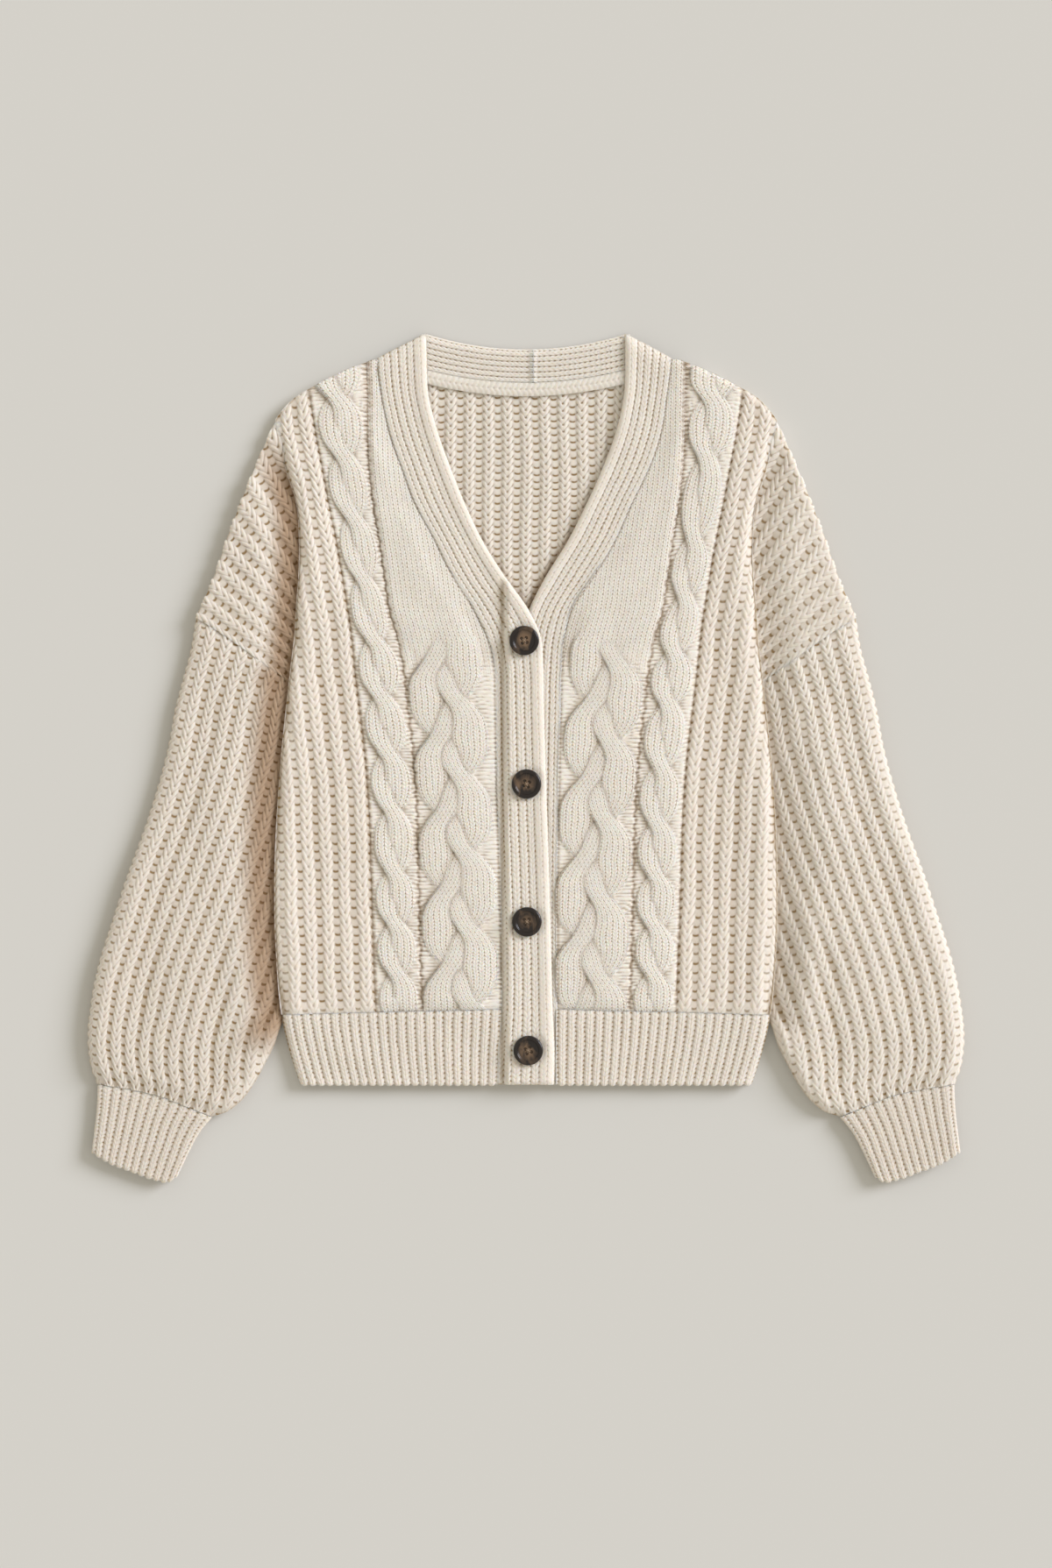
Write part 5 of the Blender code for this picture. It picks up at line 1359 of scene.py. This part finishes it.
def slit_group():
    """Painted shade in the slits of the ladders, in the columns' pits and between their legs, from the rib's
    counts.

    The bent and the leaning row counts are those of the rib's height.
    """
    tree, given, out = group("Rib slits", {"Column": FLOAT, "Row": FLOAT}, {"Shade": FLOAT})
    row, from_middle = given["Row"], beside_middle(tree, given["Column"])
    from_gap = maths(tree, "SUBTRACT", 0.5, from_middle)
    bend = maths(tree, "MULTIPLY", maths(tree, "POWER", from_gap, 2.0), RIB_BEND)
    bent = maths(tree, "SUBTRACT", maths(tree, "SUBTRACT", row, 0.5), bend)
    leaning = maths(tree, "SUBTRACT", row, maths(tree, "MULTIPLY", from_middle, RIB_LEAN))
    slits = marks(tree, bent, 1.0, (0.12, 0.6), from_gap, (0.1, 0.19))
    pits = marks(tree, row, 0.5, (0.1, 0.6), from_middle, (0.02, 0.12))
    partings = marks(tree, leaning, 0.34, (0.0, 0.5), from_middle, (0.28, 0.36))
    tree.links.new(maths(tree, "MAXIMUM", maths(tree, "MAXIMUM", slits, pits), partings), out["Shade"])
    return tree


SLITS = slit_group()
print("The rib slits take", len(SLITS.nodes), "nodes")

# %% Group: yarn fuzz

def fuzz_group():
    """Fine fibres for the bump, and a wide mottle for the tint."""
    tree, given, out = group("Yarn fuzz", {"Size": FLOAT}, {"Height": FLOAT, "Mottle": FLOAT})
    place = add(tree, "ShaderNodeTexCoord").outputs["Object"]
    scale = maths(tree, "DIVIDE", 1.0, given["Size"])
    hairs = {"Vector": place, "Scale": scale, "Detail": 4.0, "Roughness": 0.7, "Distortion": 0.6}
    fine = add(tree, "ShaderNodeTexNoise", hairs)
    wide = add(tree, "ShaderNodeTexNoise", {"Vector": place, "Scale": 230.0, "Detail": 1.0})
    tree.links.new(fine.outputs[0], out["Height"])
    tree.links.new(wide.outputs[0], out["Mottle"])
    return tree


FUZZ = fuzz_group()
print("The yarn's fuzz takes", len(FUZZ.nodes), "nodes")

# %% Group: painted gap shade

def gap_group():
    """Cream on the crests, painted warm tan shade where the surface lies below its surroundings, and more
    painted shade where the mesh asks for it.
    """
    sockets = {label: FLOAT for label in ("Cavity", "Depth", "Shade", "Mottle", "Painted Shade")}
    sockets.update({label: COLOUR for label in ("Crest", "Gap", "Painted Shade Tint")})
    tree, given, out = group("Painted gap shade", sockets, {"Colour": COLOUR})
    sunk = maths(tree, "DIVIDE", given["Cavity"], given["Depth"], clamp=True)
    spots = maths(tree, "MULTIPLY", given["Shade"], ramp(tree, given["Mottle"], 0.35, 0.65, 0.75, 1.0))
    grain = ramp(tree, given["Mottle"], 0.3, 0.7, 0.0, 0.06)
    both = maths(tree, "ADD", maths(tree, "ADD", sunk, grain), spots, clamp=True)
    tint = {"Factor": both, "A": given["Crest"], "B": given["Gap"]}
    tinted = add(tree, "ShaderNodeMix", tint, data_type="RGBA")
    dark = {"Factor": given["Painted Shade"], "A": tinted.outputs["Result"], "B": given["Painted Shade Tint"]}
    dimmed = add(tree, "ShaderNodeMix", dark, data_type="RGBA", blend_type="MULTIPLY")
    tree.links.new(dimmed.outputs["Result"], out["Colour"])
    return tree


GAPS = gap_group()
print("The painted gap shade takes", len(GAPS.nodes), "nodes")

# %% The wool materials
# The crest colours: plain cream for the fronts, and the same cream darkened by painted shade for all the
# other wool
CREAM, CREAM_WITH_PAINTED_SHADE = (0.945, 0.885, 0.80, 1.0), (0.86, 0.80, 0.715, 1.0)
# The tan is painted shade: the colour that the gaps take where light bounces between cream fibres
SHADOW_TAN = (0.34, 0.225, 0.10, 1.0)
# Painted shade multiplies the colour towards this, where the mesh asks for it
PAINTED_SHADE_TINT = (0.50, 0.38, 0.28, 1.0)
WOOL = {
    "Roughness": 0.92, "Specular IOR Level": 0.25, "Sheen Weight": 0.25, "Sheen Roughness": 0.6,
    "Subsurface Weight": 0.75, "Subsurface Radius": (1.0, 0.82, 0.6), "Subsurface Scale": 0.004,
}


def new_material(name, constants):
    """A new material with constants on its shader, and its node tree and that shader."""
    material = bpy.data.materials.new(name)
    material.use_nodes = True
    shader = material.node_tree.nodes["Principled BSDF"]
    for key, value in constants.items():
        shader.inputs[key].default_value = value
    return material, material.node_tree, shader


def wool(name, crest, gap_depth, fuzz_size, fuzz_height, stitch_height=0.0):
    """Cream wool: the painted gap shade, the fuzz and, where stitch_height isn't 0, the small stitches."""
    material, tree, shader = new_material(name, WOOL)
    counts = add(tree, "ShaderNodeAttribute", attribute_name="stitch").outputs["Vector"]
    split = add(tree, "ShaderNodeSeparateXYZ", {0: counts}).outputs
    places = {"Column": split["X"], "Row": split["Y"]}
    sunk = add(tree, "ShaderNodeAttribute", attribute_name="cavity").outputs["Fac"]
    painted_shade = add(tree, "ShaderNodeAttribute", attribute_name="painted_shade").outputs["Fac"]
    fuzz = add(tree, "ShaderNodeGroup", {"Size": fuzz_size}, node_tree=FUZZ).outputs
    slits = add(tree, "ShaderNodeGroup", places, node_tree=SLITS).outputs["Shade"]
    height = maths(tree, "MULTIPLY", fuzz["Height"], fuzz_height)
    shade = maths(tree, "MULTIPLY", slits, maths(tree, "MULTIPLY", split["Z"], -1.0, clamp=True))
    if stitch_height:
        small = add(tree, "ShaderNodeGroup", places, node_tree=STITCHES).outputs
        fine = maths(tree, "MULTIPLY", split["Z"], 1.0, clamp=True)
        raised = maths(tree, "MULTIPLY", maths(tree, "MULTIPLY", small["Height"], fine), stitch_height)
        height = maths(tree, "ADD", height, raised)
        shade = maths(tree, "ADD", shade, maths(tree, "MULTIPLY", small["Shade"], fine))
    tint = {"Crest": crest, "Gap": SHADOW_TAN, "Depth": gap_depth, "Painted Shade Tint": PAINTED_SHADE_TINT}
    tint.update({"Cavity": sunk, "Painted Shade": painted_shade, "Mottle": fuzz["Mottle"], "Shade": shade})
    colour = add(tree, "ShaderNodeGroup", tint, node_tree=GAPS).outputs["Colour"]
    bump = add(tree, "ShaderNodeBump", {"Height": height, "Distance": 1.0, "Strength": 1.0})
    tree.links.new(colour, shader.inputs["Base Color"])
    tree.links.new(bump.outputs["Normal"], shader.inputs["Normal"])
    return material


MAIN = wool("cream wool, ribs and cables", CREAM, 2.1, 0.0012, 0.0004, 0.0014)
RIBBED = wool("cream wool, thick ribs", CREAM_WITH_PAINTED_SHADE, 2.0, 0.0012, 0.0004)
INSIDE = wool("cream wool, inside of the back", CREAM_WITH_PAINTED_SHADE, 1.9, 0.0012, 0.0004)
FINE = wool("cream wool, fine ribs", CREAM_WITH_PAINTED_SHADE, 1.9, 0.0010, 0.0003, 0.0009)
print("The main wool has", len(MAIN.node_tree.nodes), "nodes")

# %% Horn and thread

def plain(name, colour, roughness):
    return new_material(name, {"Base Color": colour, "Roughness": roughness})[0]


def horn():
    """Dark brown horn: cloudy streaks of lighter brown under a polished surface, lightest in the middle."""
    material, tree, shader = new_material("brown horn", {"Roughness": 0.22})
    place = add(tree, "ShaderNodeTexCoord").outputs["Object"]
    streaks = {"Vector": place, "Scale": (1.0, 0.45, 1.0), "Rotation": (0.0, 0.0, 0.7)}
    place = add(tree, "ShaderNodeMapping", streaks).outputs[0]
    cloudy = {"Vector": place, "Scale": 85.0, "Detail": 5.0, "Distortion": 1.0}
    clouds = add(tree, "ShaderNodeTexNoise", cloudy).outputs[0]
    middle = add(tree, "ShaderNodeAttribute", attribute_name="middle").outputs["Fac"]
    lift = maths(tree, "ADD", 0.84, maths(tree, "MULTIPLY", middle, 0.6))
    lit = maths(tree, "MULTIPLY", clouds, lift)
    browns = add(tree, "ShaderNodeValToRGB", {"Fac": lit})
    dark, light = browns.color_ramp.elements[0], browns.color_ramp.elements[1]
    dark.position, dark.color = 0.46, (0.013, 0.008, 0.006, 1.0)
    light.position, light.color = 0.74, (0.17, 0.105, 0.06, 1.0)
    tree.links.new(browns.outputs[0], shader.inputs["Base Color"])
    return material


HORN, THREAD = horn(), plain("beige thread", (0.36, 0.26, 0.17, 1.0), 0.8)
print("The horn takes", len(HORN.node_tree.nodes), "nodes")

# %% Give each piece its material and hang it on the root, and hide the solids that the pieces replace
REPLACES = {"shoulder": "front", "neckband": "band"}
MATERIALS = {"front": MAIN, "shoulder": RIBBED, "sleeve": RIBBED, "back": INSIDE}
MATERIALS.update({"button": HORN, "thread": THREAD})
for name, piece in pieces.items():
    kind, _, which = name.partition("_")
    piece.data.materials.append(MATERIALS.get(kind, FINE))
    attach(piece, "root")
    if kind != "thread":
        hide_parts(f"{REPLACES[kind]}_{which}" if kind in REPLACES else name)
print(len(pieces), "pieces have their materials")

# %% [markdown]
# ## Counting the cloth
#
# The pieces that are neither horn nor thread are cloth, and they are counted.

for side in ("left", "right"):
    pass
print(sum(piece.data.materials[0] not in (HORN, THREAD) for piece in pieces.values()), "pieces are cloth")

# %% [markdown]
# ## Floor and light
#
# The main light comes from the upper right, low enough for the ribs to throw short shadows and as wide as a
# window, so the shadows are soft. It is a sun, which lights the whole table evenly. The rest of the light
# comes from all round, as in a white room.

# %% Floor
# Half the table's width, and its height just under the garment, both in metres
FLOOR_HALF, FLOOR_Z = 6.0, -0.0004
floor_points = [(x * FLOOR_HALF, y * FLOOR_HALF, FLOOR_Z) for x, y in ((-1, -1), (1, -1), (1, 1), (-1, 1))]
floor_mesh = bpy.data.meshes.new("floor")
floor_mesh.from_pydata(floor_points, [], [(0, 1, 2, 3)])
floor = new_object("floor", floor_mesh)
floor_mesh.materials.append(plain("pale table", (0.665, 0.648, 0.605, 1.0), 0.95))
print("The table is", 2 * FLOOR_HALF, "m wide")

# %% Light
# The sun's direction and how wide it looks, in degrees, its power and its colour, then the room's light
KEY_AZIMUTH, KEY_ELEVATION, KEY_SPREAD, KEY_POWER = 27.0, 28.0, 28.0, 2.8
KEY_COLOUR = (0.875, 0.90, 1.0)
ROOM, ROOM_STRENGTH = (1.0, 0.965, 0.87, 1.0), 0.62

lamp = bpy.data.lights.new("key", "SUN")
lamp.angle, lamp.energy, lamp.color = np.radians(KEY_SPREAD), KEY_POWER, KEY_COLOUR
key = new_object("key", lamp)
key.rotation_euler = (0.0, np.radians(90.0 - KEY_ELEVATION), np.radians(KEY_AZIMUTH))
world = bpy.data.worlds.new("room")
world.use_nodes = True
world.node_tree.nodes["Background"].inputs["Color"].default_value = ROOM
world.node_tree.nodes["Background"].inputs["Strength"].default_value = ROOM_STRENGTH
bpy.context.scene.world = world
bpy.context.scene.view_settings.view_transform = "Standard"
print("The main light stands", KEY_ELEVATION, "degrees above the table")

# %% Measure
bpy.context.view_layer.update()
triangles = [sum(len(face.vertices) - 2 for face in piece.data.polygons) for piece in pieces.values()]
print("The pieces have", sum(triangles), "triangles, the largest", max(triangles))
